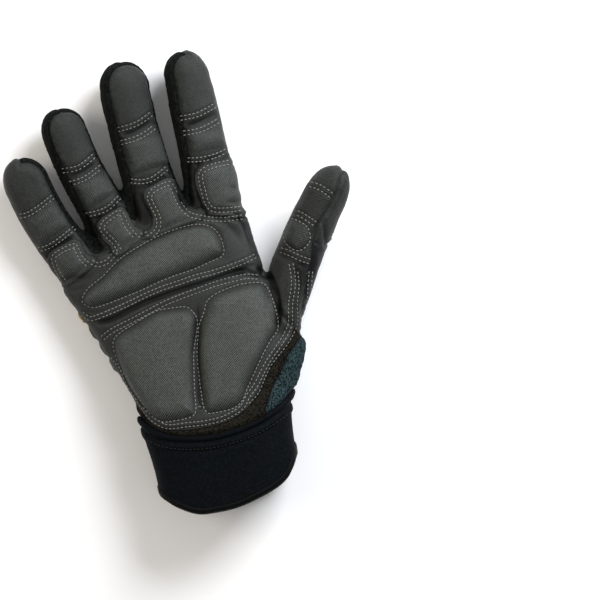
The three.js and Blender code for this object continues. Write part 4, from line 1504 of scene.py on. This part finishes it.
def ramp(tree: Tree, factor: Socket,
         stops: Sequence[tuple[float, float | tuple[float, ...]]]) -> Socket:
    """Colours along a value, from its stops of place and colour.

    Args:
        tree: the material's tree.
        factor: the value.
        stops: places, each with a colour or a grey.

    Returns:
        The colour.
    """
    made = add(tree, "ValToRGB", {"Fac": factor})
    elements = made.color_ramp.elements
    for i, (place, colour) in enumerate(stops):
        stop = elements[i] if i < 2 else elements.new(place)
        stop.position = place
        stop.color = colour if isinstance(colour, tuple) else (colour, colour, colour, 1.0)
    return made.outputs["Color"]


def mixed(tree: Tree, how: str, share: float | Socket, a: Socket | tuple[float, ...],
          b: Socket | tuple[float, ...]) -> Socket:
    """Two colours mixed in one of Blender's ways."""
    made = add(tree, "Mix", {0: share, 6: a, 7: b}, data_type="RGBA", blend_type=how)
    return made.outputs[2]


@dataclass(frozen=True)
class Finish:
    """What the glove's finishes share: a colour that varies, a seam's shade, gloss and relief."""

    name: str
    colour: str
    light: str
    roughness: float
    sheen: float
    depth: float  # height of its grain in millimetres
    specular: float
    seam: float  # how much its sewn borders are darkened, by dust and painted shade

    # Painted shade and painted highlight on a piece: its mark, how much that counts, and places
    # with their greys
    SHADES: ClassVar = (
        ("sunk", 0.55, ((0.1, 1.0), (0.9, 0.42))),  # painted shade in the troughs where rows of thread lie
        ("crown", 1.0, ((0.0, 0.4), (0.4, 0.72), (0.95, 1.08))),  # painted highlight on the pads' tops, and the lower leather painted darker
        ("crease", 0.9, ((0.08, 1.0), (0.9, 0.14))),  # little light reaches into a fold
    )

    def pattern(self, tree: Tree, place: Socket) -> tuple[Socket, Socket]:
        """The share of the light colour and the height of the surface, from its own grain."""
        raise NotImplementedError

    @staticmethod
    def weave(tree: Tree, turn: float, pitch: float) -> Socket:
        """The piece's unrolled coordinates, turned and counted in pitches.

        Args:
            tree: the material's tree.
            turn: degrees.
            pitch: millimetres.

        Returns:
            The coordinates.
        """
        u, v = (add(tree, "Attribute", attribute_name=name).outputs["Fac"]
                for name in ("weave_u", "weave_v"))
        spread = add(tree, "CombineXYZ", {"X": u, "Y": v}).outputs[0]
        return add(tree, "Mapping", {"Vector": spread, "Rotation": (0.0, 0.0, math.radians(turn)),
                                     "Scale": (1 / pitch, 1 / pitch, 1.0)}).outputs[0]

    def build(self) -> bpy.types.Material:
        """Makes the material.

        Returns:
            A material whose patterns follow the object's own coordinates.
        """
        made = bpy.data.materials.new(self.name)
        made.use_nodes = True
        tree = made.node_tree
        tree.nodes.clear()
        place = add(tree, "TexCoord").outputs["Object"]
        share, height = self.pattern(tree, place)
        cloud = add(tree, "TexNoise", {"Vector": place, "Scale": 45.0, "Detail": 4.0,
                                       "Roughness": 0.6}).outputs["Fac"]
        colour = mixed(tree, "MIX", share, linear(self.colour), linear(self.light))
        worn = ramp(tree, cloud, [(0.3, (0.79, 0.77, 0.73, 1)), (0.7, (1.1, 1.13, 1.16, 1))])
        colour = mixed(tree, "MULTIPLY", 0.75, colour, worn)
        border = ("edge", self.seam, ((0.0, 0.3), (0.11, 1.0)))  # dust and painted shade where sewn borders turn under
        for name, much, stops in (border, *self.SHADES):
            mark = add(tree, "Attribute", attribute_name=name).outputs["Fac"]
            colour = mixed(tree, "MULTIPLY", much, colour, ramp(tree, mark, stops))
        rough = add(tree, "MapRange", {0: cloud, 1: 0.3, 2: 0.7, 3: self.roughness - 0.06,
                                       4: self.roughness + 0.08})
        bump = add(tree, "Bump", {"Height": height, "Strength": 0.7, "Distance": self.depth * MM})
        shader = add(tree, "BsdfPrincipled", {
            "Base Color": colour, "Roughness": rough.outputs[0], "Normal": bump.outputs["Normal"],
            "Specular IOR Level": self.specular, "Sheen Weight": self.sheen,
            "Sheen Roughness": 0.45, "Sheen Tint": linear(self.light), "IOR": 1.5})
        add(tree, "OutputMaterial", {"Surface": shader.outputs[0]})
        return made


@dataclass(frozen=True)
class TwillLeather(Finish):
    """Synthetic leather on a twill base: fine slanting ribs under a matte film."""

    pitch: float = 1.0  # about twice the real rib's, which would be finer than a pixel

    def pattern(self, tree: Tree, place: Socket) -> tuple[Socket, Socket]:
        """Slanting ribs with a fine grain on them.

        Args:
            tree: the material's tree.
            place: the piece's own coordinates.

        Returns:
            The share of the light colour and the height.
        """
        ribs = add(tree, "TexWave", {
            "Vector": self.weave(tree, 52, self.pitch), "Scale": ONE_WAVE, "Distortion": 0.8,
            "Detail": 1.0, "Detail Scale": 0.6})
        picks = add(tree, "TexWave", {
            "Vector": self.weave(tree, -8, self.pitch * 0.9), "Scale": ONE_WAVE,
            "Distortion": 0.8, "Detail": 1.0})
        twill = mixed(tree, "MULTIPLY", 0.6, ribs.outputs["Color"], picks.outputs["Color"])
        grain = add(tree, "TexNoise", {"Vector": place, "Scale": 850.0, "Detail": 2.0,
                                       "Roughness": 0.7}).outputs["Fac"]
        height = mixed(tree, "MIX", 0.3, twill, grain)
        speckled = mixed(tree, "MIX", 0.5, twill, grain)
        return ramp(tree, speckled, [(0.24, 0.0), (0.64, 1.0)]), height


@dataclass(frozen=True)
class GrainLeather(Finish):
    """Smooth synthetic leather with a pebbled grain."""

    grain: float = 1.0

    def pattern(self, tree: Tree, place: Socket) -> tuple[Socket, Socket]:
        """Small cells with soft valleys between them.

        Args:
            tree: the material's tree.
            place: the piece's own coordinates.

        Returns:
            The share of the light colour and the height.
        """
        cells = add(tree, "TexVoronoi", {"Vector": place, "Scale": 1 / (self.grain * MM)},
                    feature="SMOOTH_F1").outputs["Distance"]
        height = ramp(tree, cells, [(0.1, 1.0), (0.8, 0.2)])
        return ramp(tree, cells, [(0.2, 0.45), (0.9, 0.0)]), height


@dataclass(frozen=True)
class PileCloth(Finish):
    """Brushed or looped cloth: suede's nap or towelling's loops, which look soft."""

    loop: float = 1.0  # width of a tuft, coarser than a single real one so that it shows

    def pattern(self, tree: Tree, place: Socket) -> tuple[Socket, Socket]:
        """Clumps of pile and the loops in them.

        Args:
            tree: the material's tree.
            place: the piece's own coordinates.

        Returns:
            The share of the light colour and the height.
        """
        loops = add(tree, "TexVoronoi", {"Vector": place, "Scale": 1 / (self.loop * MM)})
        nap = add(tree, "TexNoise", {"Vector": place, "Scale": 0.35 / (self.loop * MM),
                                     "Detail": 5.0, "Roughness": 0.75})
        height = mixed(tree, "MIX", 0.45, loops.outputs["Distance"], nap.outputs["Color"])
        return ramp(tree, height, [(0.25, 1.0), (0.62, 0.0)]), height


@dataclass(frozen=True)
class KnitCloth(Finish):
    """Knitted or laminated cloth: rows of small loops."""

    loop: float = 0.8  # coarser than the real half millimetre, so that it shows

    def pattern(self, tree: Tree, place: Socket) -> tuple[Socket, Socket]:
        """Crossed rows with loose fibres over them.

        Args:
            tree: the material's tree.
            place: the piece's own coordinates.

        Returns:
            The share of the light colour and the height.
        """
        size = ONE_WAVE / (self.loop * MM)
        rows = [add(tree, "TexWave", {"Vector": place, "Scale": size, "Distortion": 1.0,
                                      "Detail": 2.0}, bands_direction=axis).outputs["Color"]
                for axis in ("X", "Y")]
        fibre = add(tree, "TexNoise", {"Vector": place, "Scale": 700.0, "Detail": 4.0,
                                       "Roughness": 0.7})
        knit = mixed(tree, "MULTIPLY", 1.0, *rows)
        height = mixed(tree, "MIX", 0.4, knit, fibre.outputs["Color"])
        return ramp(tree, fibre.outputs["Fac"], [(0.42, 0.0), (0.72, 0.9)]), height


@dataclass(frozen=True)
class SpacerMesh(Finish):
    """Breathable spacer mesh: diamond knots of pale yarn with dark openings between them."""

    pitch: float = 2.8

    def pattern(self, tree: Tree, place: Socket) -> tuple[Socket, Socket]:
        """Knots on a diamond grid that follows the panel's own unrolled coordinates.

        Args:
            tree: the material's tree.
            place: the piece's own coordinates.

        Returns:
            The share of the light colour and the height.
        """
        knots = add(tree, "TexVoronoi", {
            "Vector": self.weave(tree, 45, self.pitch), "Scale": 1.0, "Randomness": 0.12,
        }, voronoi_dimensions="2D").outputs["Distance"]
        yarn = add(tree, "TexNoise", {"Vector": place, "Scale": 1100.0, "Detail": 3.0})
        knot = ramp(tree, knots, [(0.22, 1.0), (0.52, 0.4), (0.68, 0.0)])
        return mixed(tree, "MULTIPLY", 0.35, knot, yarn.outputs["Color"]), knot


@dataclass(frozen=True)
class WovenTape(Finish):
    """Binding tape, cord or thread: fine ribs across the piece."""

    rib: float = 0.8
    turn: float = 0.0

    def pattern(self, tree: Tree, place: Socket) -> tuple[Socket, Socket]:
        """Ribs, with slubs in the yarn.

        Args:
            tree: the material's tree.
            place: the piece's own coordinates.

        Returns:
            The share of the light colour and the height.
        """
        turned = add(tree, "Mapping", {"Vector": place,
                                       "Rotation": (0.0, 0.0, math.radians(self.turn))})
        ribs = add(tree, "TexWave", {
            "Vector": turned.outputs[0], "Scale": ONE_WAVE / (self.rib * MM), "Distortion": 0.8,
            "Detail": 1.0}).outputs["Fac"]
        return ramp(tree, ribs, [(0.2, 0.0), (0.9, 0.8)]), ribs


class Finishes:
    """The glove's materials, made once each. Their keys are the record's slots, and thread besides.

    Their numbers are roughness, sheen, grain depth, specular level, seam shade and pitch.
    """

    TABLE = {
        # Coated twill: a matte film over slanting ribs, so the light breaks up into fine speckles.
        "palm_leather": TwillLeather(
            "twill_synthetic_leather", "#0f1110", "#50544f", 0.5, 0.02, 0.3, 0.2, 0.6, 0.92),
        # The same leather, brushed: its fibres hide the gloss, so it looks darker and flatter.
        "cap_leather": TwillLeather(
            "brushed_cap_leather", "#111215", "#34363b", 0.62, 0.04, 0.18, 0.14, 0.5, 1.0),
        # Embossed leather: a smooth film with a pebbled grain, which gives soft, broad highlights.
        "smooth_leather": GrainLeather(
            "grained_thumb_leather", "#131115", "#29262a", 0.46, 0.0, 0.12, 0.22, 0.5),
        # Brushed suede: its nap takes the light in, and only its clumps show, as a warm mottle.
        "suede": PileCloth("brown_suede", "#171511", "#444036", 0.95, 0.06, 0.35, 0.04, 0.5, 0.9),
        # Looped towelling: tufts with deep shade between them, rough and without any gloss.
        "terry": PileCloth("towelling", "#1a2829", "#5c757a", 0.95, 0.08, 0.8, 0.04, 0.5, 1.0),
        # Stretch knit: matte black yarn, lifted a little by loose fibres.
        "stretch_cloth": KnitCloth(
            "stretch_knit", "#121513", "#363c38", 0.85, 0.02, 0.15, 0.05, 0.4, 0.7),
        # Spacer mesh: thick pale yarn that catches light on its knots, over dark openings.
        "mesh": SpacerMesh("spacer_mesh", "#857a7e", "#d0c6c9", 0.85, 0.05, 0.7, 0.2, 0.4),
        # Rubberised stretch band: smoother than knit, with a faint gloss on its ribs.
        "rubber_rib": KnitCloth(
            "ribbed_stretch_band", "#101817", "#2a3532", 0.7, 0.03, 0.12, 0.12, 0.5, 0.8),
        # Neoprene laminated with knit: very dark, even and matte.
        "neoprene": KnitCloth(
            "laminated_neoprene", "#0a0a0d", "#1e1e23", 0.85, 0.03, 0.12, 0.06, 0.5, 0.9),
        # The cuff's thinner neoprene: the same cloth dyed blue-black, pulled smoother.
        "cuff_neoprene": KnitCloth(
            "cuff_neoprene", "#04080a", "#13202b", 0.72, 0.02, 0.08, 0.06, 0.4, 0.8),
        # Woven binding: nearly black, with ribs that give its edge a thin sheen.
        "binding": WovenTape(
            "binding_tape", "#040506", "#0e1012", 0.5, 0.0, 0.15, 0.06, 0.4, 0.8),
        # Satin cord: bright yellow yarn laid side by side, which shines along its length.
        "yellow": WovenTape(
            "satin_cord", "#e0ad10", "#ffdc3a", 0.45, 0.1, 0.2, 0.5, 0.3, 1.0, 90),
        # Spun polyester thread: pale grey and slightly glossy, so each stitch stands out.
        "thread": WovenTape(
            "sewing_thread", "#a3a39a", "#d2d2c8", 0.6, 0.05, 0.05, 0.3, 0.0, 0.5),
        # The same thread in black: it shows only by its gloss.
        "dark_thread": WovenTape(
            "dark_thread", "#060708", "#121316", 0.6, 0.05, 0.05, 0.3, 0.0, 0.5),
    }

    def __init__(self) -> None:
        """Makes every material."""
        self.made = {slot: finish.build() for slot, finish in self.TABLE.items()}

    def __getitem__(self, slot: str) -> bpy.types.Material:
        """The material of a slot."""
        return self.made[slot]


# Sub-assemblies


def finished(piece: bpy.types.Object, slot: str, *nodes: str) -> bpy.types.Object:
    """Hides the imported solids that a piece stands for.

    Args:
        piece: the piece.
        slot: its slot in the record; not used.

    Returns:
        The same piece.
    """
    if nodes:
        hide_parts(*nodes)
    return piece


@dataclass
class PanelGroup:
    """Panels of one sub-assembly: each panel's slot, and how its seam lies."""

    layout: Layout
    finishes: Finishes
    pieces: list[bpy.types.Object] = field(default_factory=list)

    def sew(self, name: str, slot: str, node: str = "", **how: object) -> bpy.types.Object:
        """Makes one panel, which stands for the solid of the same name where none is given.

        Args:
            name: the piece's name.
            slot: its slot in the record.
            node: the solid's name.
            how: the panel's wall, seam, swell and extra height.

        Returns:
            The piece.
        """
        shell = self.layout.panel(name, **how)
        piece = finished(shell.dress(name + "_skin", self.finishes[slot]), slot, node or name)
        self.pieces.append(piece)
        return piece

    def lay(self, name: str, slot: str, values: np.ndarray, height: Height,
            base: float = -0.4) -> bpy.types.Object:
        """Makes one piece that lies on the panels, which stands for the solid of the same name.

        Args:
            name: the solid's name.
            slot: its slot in the record.
            values: field of its area.
            height: its height, as cover reads it.
            base: where its underside lies.

        Returns:
            The piece.
        """
        shell = self.layout.cover(values, height, base)
        piece = finished(shell.dress(name + "_skin", self.finishes[slot]), slot, name)
        self.pieces.append(piece)
        return piece


class Palm(PanelGroup):
    """The palm's leather with its padded areas, and the suede strip along its heel."""

    def make(self) -> None:
        """Makes the leather, the pads and the strip."""
        self.sew("palm_leather", "palm_leather")
        self.sew("heel_strip", "suede", extra=self.nap)
        for pad in PADS[:-1]:
            self.sew(pad.name, "palm_leather")

    @staticmethod
    def nap(part: Skin, edge: np.ndarray) -> np.ndarray:
        """The suede lies a little lower than the leather, with an uneven nap."""
        return -0.35 + 0.12 * Noise(21)(part.points, 2.0)


class Thumb(PanelGroup):
    """The thumb's leather front with its oval pad, its smooth back and the towelling below it."""

    def make(self) -> None:
        """Makes the four panels."""
        self.sew("thumb_front", "palm_leather")
        self.sew("thumb_patch_pad", "palm_leather")
        self.sew("thumb_back", "smooth_leather", seam=0.9)
        self.sew("thumb_tip", "palm_leather", seam=0.9, node="thumb_back")
        self.sew("terry_patch", "terry", extra=self.loops)

    @staticmethod
    def loops(part: Skin, edge: np.ndarray) -> np.ndarray:
        """The towelling's clumps of loops."""
        return 0.3 * Noise(31)(part.points, 2.2) + 0.2 * Noise(33)(part.points, 1.3)


@dataclass
class Fingers(PanelGroup):
    """The black strips between the fingers, the caps on their backs and the ribbed bands."""

    band_length: float = 17.0
    channels: int = 4
    rib_height: float = 2.0
    groove: float = 1.3
    inset: float = 1.0  # from a finger's sides to its band's ends

    def make(self) -> None:
        """Makes the strips, caps and bands."""
        for digit in FINGERS[:-1]:
            self.sew(f"{digit.name}_strip", "stretch_cloth", seam=0.45, swell=0.1)
        for digit in FINGERS:
            self.sew(f"{digit.name}_cap", "cap_leather", extra=self.lap)
            self.band(digit)

    @staticmethod
    def lap(part: Skin, edge: np.ndarray) -> np.ndarray:
        """The cap laps over the mesh, so it stands a little higher at that end."""
        return 0.35 * smooth(edge, 0.2, 1.2)

    def band(self, digit: Digit) -> None:
        """Makes one ribbed band.

        Args:
            digit: the finger.
        """
        a, u, s = self.layout.at[digit.name]
        along = (s - digit.flex) * digit.length
        side = digit.width / 2 - self.inset
        area = both(side - np.abs(a), -u - STRIP_HALF - GAP, self.band_length / 2 - np.abs(along))
        self.layout.whole.put_many({f"along_{digit.name}": along})

        def ribs(part: Skin, edge: np.ndarray) -> np.ndarray:
            """Height of the ribs and the sewn grooves between them.

            Args:
                part: the band's skin.
                edge: distance to its border.

            Returns:
                One height a point.
            """
            place = (part[f"along_{digit.name}"] / self.band_length + 0.5) * self.channels
            gap = np.abs(place - np.round(place)) * self.band_length / self.channels
            return self.rib_height * (1 - hollow(edge, 0.6)) - self.groove * hollow(gap, 0.6) + 0.1

        self.lay(f"{digit.name}_flex", "rubber_rib", area, ribs)


@dataclass
class Back(PanelGroup):
    """The mesh, the quilted knuckle band, the lower panel, the cord, the tab and the vent."""

    cord_half: float = 1.25
    satin_pitch: float = 1.5
    vent_tape: float = 3.0  # width of the tape round the vent

    def make(self) -> None:
        """Makes the panels and the trims."""
        self.sew("back_mesh", "mesh", extra=self.puff)
        self.sew("knuckle_band", "neoprene")
        self.sew("back_panel", "neoprene")
        p = self.layout.whole.points
        areas = self.layout.areas
        before = ("palm_leather", "thumb_front", "thumb_back", "terry_patch")
        palm = np.maximum.reduce([areas[name] for name in before])
        middle = np.abs(height_over(p, curve(PIPING_LINE)))
        cord = both(self.cord_half - middle, -palm, -areas["cuff"])
        self.lay("piping", "yellow", cord, self.round_cord)
        tab = both(slot_field(p, TAG_PLACE, TAG_SIZE, 0), SIDE_SEAM - p[:, 2], -palm)
        self.lay("side_tag", "yellow", tab, self.satin)
        vent = slot_field(p, VENT_PLACE, VENT_SIZE, 90)
        rim = slot_field(p, VENT_PLACE, tuple(size + 2 * self.vent_tape for size in VENT_SIZE), 90)
        ring = both(rim, -vent, SIDE_SEAM - p[:, 2], -areas["cuff"] - GAP)
        self.lay("vent_rim", "binding", ring, self.tape)

    @staticmethod
    def puff(part: Skin, edge: np.ndarray) -> np.ndarray:
        """The spacer mesh stands up from its seams."""
        return 0.45 * (1 - hollow(edge, 3))

    def round_cord(self, part: Skin, edge: np.ndarray) -> np.ndarray:
        """A cord's rounded top."""
        return 0.2 + 1.45 * np.sqrt(np.clip(1 - (1 - edge / self.cord_half) ** 2, 0, 1))

    def satin(self, part: Skin, edge: np.ndarray) -> np.ndarray:
        """Satin stitches side by side."""
        rib = np.abs(np.sin(part.points[:, 0] * np.pi / self.satin_pitch))
        return 0.3 + (0.65 + 0.3 * rib) * (1 - hollow(edge, 0.5))

    @staticmethod
    def tape(part: Skin, edge: np.ndarray) -> np.ndarray:
        """A binding tape's rounded height."""
        return 0.1 + 1.0 * (1 - hollow(edge, 0.7))


@dataclass
class Cuff(PanelGroup):
    """The stretch cuff with its corded top seam, its bound open edge and the strap on its back."""

    hem_width: float = 8.0
    # Place, height and width of each cord in the hem
    cords: tuple[tuple[float, float, float], ...] = ((1.1, 1.35, 1.15), (5.4, 1.1, 1.2))
    bead_place: float = 7.3
    bead_pitch: float = 3.4
    edge_width: float = 3.8
    rolled_over: float = 0.7  # how far the binding reaches past the cuff's edge
    edge_gap: float = 0.5
    hem_end: float = 3.0  # where the hem stops before the open end
    strap_border: float = 3.7

    def make(self) -> None:
        """Makes the cuff and what is sewn on it."""
        layout, areas = self.layout, self.layout.areas
        p = layout.whole.points
        self.sew("cuff", "cuff_neoprene", wall=CUFF_WALL, seam=0.4, swell=0.1)
        below, over = areas["cuff"], -areas["open_end"]
        hem = both(self.hem_width - below, below + GAP, -areas["vent"], over - self.hem_end)
        self.lay("cuff_hem", "cuff_neoprene", hem, self.corded)
        rim = both(self.edge_width - over, over + self.rolled_over)
        self.lay("cuff_binding", "binding", rim, self.rolled, base=-CUFF_WALL - self.edge_gap)
        patch = both(slot_field(p, STRAP_PLACE, STRAP_SIZE, STRAP_LEAN), SIDE_SEAM - p[:, 2],
                     below - self.hem_width - GAP, over - self.edge_width - self.edge_gap)
        self.lay("wrist_strap", "cuff_neoprene", patch - self.strap_border, self.quilted)
        self.lay("strap_rim", "binding", both(patch, self.strap_border - patch), self.taped)

    def corded(self, part: Skin, edge: np.ndarray) -> np.ndarray:
        """Two cords under the cloth, with a sewn valley between them.

        Args:
            part: the hem's skin.
            edge: distance to its border.

        Returns:
            One height a point.
        """
        below = part["area_cuff"]
        height = np.full(len(below), 0.15)
        for middle, rise, width in self.cords:
            across = (below - middle) / (width * 1.45)
            height = np.maximum(height, rise * np.sqrt(np.clip(1 - across**2, 0, 1)))
        bead = 0.25 * np.abs(np.sin(part.points[:, 0] * np.pi / self.bead_pitch))
        bead = bead * hollow(below - self.bead_place, 0.5)
        return height + bead - 0.3 * hollow(edge, 0.4)

    @staticmethod
    def rolled(part: Skin, edge: np.ndarray) -> np.ndarray:
        """A tape rolled over the edge."""
        uneven = 0.12 * Noise(41)(part.points, 3.0)
        return 0.95 * (1 - hollow(edge, 0.9)) - 0.9 * hollow(edge, 0.5) + uneven

    @staticmethod
    def quilted(part: Skin, edge: np.ndarray) -> np.ndarray:
        """The strap's cushioned face."""
        return 0.5 + 1.3 * (1 - hollow(edge, 2.4))

    @staticmethod
    def taped(part: Skin, edge: np.ndarray) -> np.ndarray:
        """The strap's rounded border."""
        return 0.3 + 1.8 * (1 - hollow(edge, 0.8))


# Threads


@dataclass
class Stitching:
    """All the visible rows of thread, laid stitch by stitch on the finished panels."""

    layout: Layout
    finishes: Finishes
    pitch: float = 2.2
    length: float = 1.6
    radius: float = 0.27
    sides: int = 5
    uneven: float = 0.09  # spread of the stitches' places along their row
    swing: float = 0.06  # spread of their turn off it
    jump: float = 3.6  # a step that a stitch doesn't bridge
    steepest: float = 0.12  # upright part of a normal under which no stitch shows
    from_height: float = 120.0
    # Place along a stitch, rise and thickness of each of its rings
    profile: tuple[tuple[float, float, float], ...] = (
        (-0.5, -0.25, 0.5), (-0.24, 0.14, 1.0), (0.24, 0.14, 1.0), (0.5, -0.25, 0.5))
    cap_rows: Size = (1.3, 3.5)  # distances from a cap's lower edge
    hem_row: float = 6.9  # distance from the cuff's top seam
    tree: BVHTree | None = None

    def make(self) -> None:
        """Lays every group of rows and makes one piece of each."""
        points, faces, count = [], [], 0
        for outer, triangles in self.layout.surfaces:
            points.append(outer)
            faces.append(triangles + count)
            count += len(outer)
        self.tree = BVHTree.FromPolygons(np.vstack(points).tolist(), np.vstack(faces).tolist())
        rng = np.random.default_rng(5)
        for group in dict.fromkeys(row.group for row in ROWS):
            runs = [(line, row.side) for row in ROWS if row.group == group for line in row.lines()]
            self.group(group + "_threads", "thread", runs, rng)
        caps = [(line, Side.BACK) for line in self.cap_lines()]
        self.group("cap_threads", "thread", caps, rng)
        hem = [(beside(curve(CUFF_TOP), -self.hem_row), side) for side in Side]
        self.group("hem_threads", "dark_thread", hem, rng)

    def cap_lines(self) -> list[np.ndarray]:
        """Two rows over the back of each finger, beside its cap's lower edge.

        Returns:
            Plan lines.
        """
        lines = []
        for digit in FINGERS:
            spine = self.layout.spines[digit.name]
            for inset in self.cap_rows:
                share = 1 - (digit.cap - inset) / digit.length
                point, _, across, up = (v[0] for v in spine.frames(np.array([share])))
                a = np.linspace(-digit.width * 0.46, digit.width * 0.46, 24)[:, None]
                lines.append((point + across * a - up * 4)[:, :2])
        return lines

    def stations(self, line: np.ndarray, rng: np.random.Generator) -> np.ndarray:
        """Places and directions of the stitches along a line, a little uneven as sewn ones are.

        Args:
            line: the row's plan line.
            rng: source of the spread.

        Returns:
            A place and a direction a stitch.
        """
        size = travelled(line)
        count = max(int(size[-1] / self.pitch), 1)
        at = (np.arange(count) + 0.5) * size[-1] / count + rng.normal(0, self.uneven, count)
        step = 0.6
        middle, after, before = (
            np.stack([np.interp(place, size, line[:, k]) for k in (0, 1)], 1)
            for place in (at, at + step, at - step))
        ahead = after - before
        ahead /= np.maximum(np.linalg.norm(ahead, axis=1, keepdims=True), LEAST)
        return np.hstack([middle, ahead])

    def drop(self, plan: np.ndarray, side: Side) -> tuple[np.ndarray, np.ndarray] | None:
        """The point and direction of the surface over or under a plan place.

        Args:
            plan: the plan place.
            side: the side to reach from.

        Returns:
            The point and its direction, or none where nothing shows.
        """
        start = Vector((plan[0], plan[1], self.from_height * side.value))
        hit, normal, _, _ = self.tree.ray_cast(start, Vector((0, 0, -side.value)))
        if hit is None or abs(normal.z) < self.steepest:
            return None
        return np.array(hit), np.array(normal)

    def stitch(self, place: np.ndarray, way: np.ndarray, side: Side) -> list[np.ndarray]:
        """Lays one stitch on the panels.

        Args:
            place: the plan place of its middle.
            way: its plan direction.
            side: the side of the glove that it lies on.

        Returns:
            The rings of its thread, or none where it would bridge a step or miss the glove.
        """
        ends = [self.drop(place + way * k, side) for k in (-self.length / 2, self.length / 2)]
        if None in ends or abs(ends[0][0][2] - ends[1][0][2]) > self.jump:
            return []
        (a, na), (b, nb) = ends
        up = na + nb
        up /= np.linalg.norm(up)
        ahead = b - a
        middle = self.drop(place, side)
        centre = middle[0] if middle is not None else (a + b) / 2
        across = np.cross(ahead, up)
        across /= max(np.linalg.norm(across), LEAST)
        angle = np.arange(self.sides) * 2 * np.pi / self.sides
        round_across, round_up = np.outer(np.cos(angle), across), np.outer(np.sin(angle), up)
        rings = []
        for k, rise, thick in self.profile:
            base = (a + b) / 2 + ahead * k if abs(k) == 0.5 else centre + ahead * k
            r = self.radius * thick
            rings.append(base + up * rise + round_across * r + round_up * r)
        return rings

    def group(self, name: str, finish: str, runs: Sequence[tuple[np.ndarray, Side]],
              rng: np.random.Generator) -> None:
        """Makes one piece of thread from rows of stitches.

        Args:
            name: the piece's name.
            finish: the thread's material.
            runs: plan lines with the side that each lies on.
            rng: what makes the stitches a little uneven.
        """
        rings = []
        for line, side in runs:
            for x, y, dx, dy in self.stations(line, rng):
                swing = rng.normal(0, self.swing)
                dx, dy = dx - dy * swing, dy + dx * swing
                rings += self.stitch(np.array([x, y]), np.array([dx, dy]), side)
        n, m = self.sides, len(self.profile)
        points = np.vstack(rings)
        start = np.arange(len(rings) // m)[:, None] * n * m
        one = []
        for k in range(m - 1):
            for i in range(n):
                a, b = k * n + i, k * n + (i + 1) % n
                one += [(a, a + n, b), (b, a + n, b + n)]
        last = (m - 1) * n
        for i in range(1, n - 1):
            one += [(0, i, i + 1), (last, last + i + 1, last + i)]
        faces = (start[:, None] + np.array(one)[None]).reshape(-1, 3)
        mesh_object(name, points * MM, faces, self.finishes[finish], angle=80)
        log.info("%s: %d stitches", name, len(start))


# The studio


@dataclass(frozen=True)
class Lamp:
    """A square lamp that points at the glove: its place and size in metres, power and colour."""

    name: str
    place: tuple[float, float, float]
    size: float
    power: float
    colour: str

    def make(self) -> None:
        """Hangs the lamp in the scene."""
        light = bpy.data.lights.new(self.name, "AREA")
        light.size, light.energy, light.color = self.size, self.power, linear(self.colour)[:3]
        lamp = bpy.data.objects.new(self.name, light)
        lamp.location = self.place
        lamp.rotation_euler = (-Vector(self.place)).to_track_quat("-Z", "Y").to_euler()
        bpy.context.scene.collection.objects.link(lamp)


@dataclass
class Studio:
    """A pale floor, soft light and a camera straight over the palm, as in the photograph."""

    centre: Size = (64.8, 3.8)
    span: float = 336.0  # millimetres that the picture shows
    turn: float = -11.6
    lens: float = 300.0
    sensor: float = 36.0
    level: float = 20.0  # height that is shown at its true size
    floor: float = 8.0
    sky: float = 0.42
    lamps: tuple[Lamp, ...] = (
        Lamp("cool_key", (0.58, 0.52, 0.6), 0.5, 14.5, "#f6f9ff"),
        Lamp("warm_fill", (-1.6, 0.6, 1.5), 1.2, 23.2, "#fff5e8"),
    )

    def make(self) -> None:
        """Places the camera, the light and the floor."""
        scene = bpy.context.scene
        scene.view_settings.view_transform = "Standard"
        camera = bpy.data.cameras.new("palm_view")
        camera.lens, camera.sensor_width, camera.clip_end = self.lens, self.sensor, 50.0
        seen = bpy.data.objects.new("palm_view", camera)
        height = self.span * self.lens / self.sensor + self.level
        seen.location = (self.centre[0] * MM, self.centre[1] * MM, height * MM)
        seen.rotation_euler = (0.0, 0.0, math.radians(self.turn))
        scene.collection.objects.link(seen)
        scene.camera = seen
        for lamp in self.lamps:
            lamp.make()
        world = bpy.data.worlds.new("soft_room")
        world.use_nodes = True
        back = world.node_tree.nodes["Background"]
        back.inputs["Color"].default_value = (1.0, 1.0, 1.0, 1.0)
        back.inputs["Strength"].default_value = self.sky
        scene.world = world
        deselect()
        bpy.ops.mesh.primitive_plane_add(size=self.floor, location=(0, 0, 0))
        floor = bpy.context.active_object
        floor.name = "bench_top"
        made = bpy.data.materials.new("pale_bench")
        made.use_nodes = True
        shader = made.node_tree.nodes["Principled BSDF"]
        shader.inputs["Base Color"].default_value = linear("#f4f4f3")
        shader.inputs["Roughness"].default_value = 0.8
        floor.data.materials.append(made)


def main() -> None:
    """Builds the glove's sub-assemblies in order, then its threads and the studio."""
    logging.basicConfig(level=logging.INFO, format="%(relativeCreated)6d ms  %(message)s")
    Studio().make()
    finishes = Finishes()
    layout = Layout(HandForm())
    for part in (Palm, Thumb, Fingers, Back, Cuff):
        log.info("%s", part.__name__)
        part(layout, finishes).make()
    Stitching(layout, finishes).make()


if __name__ == "__main__":
    main()
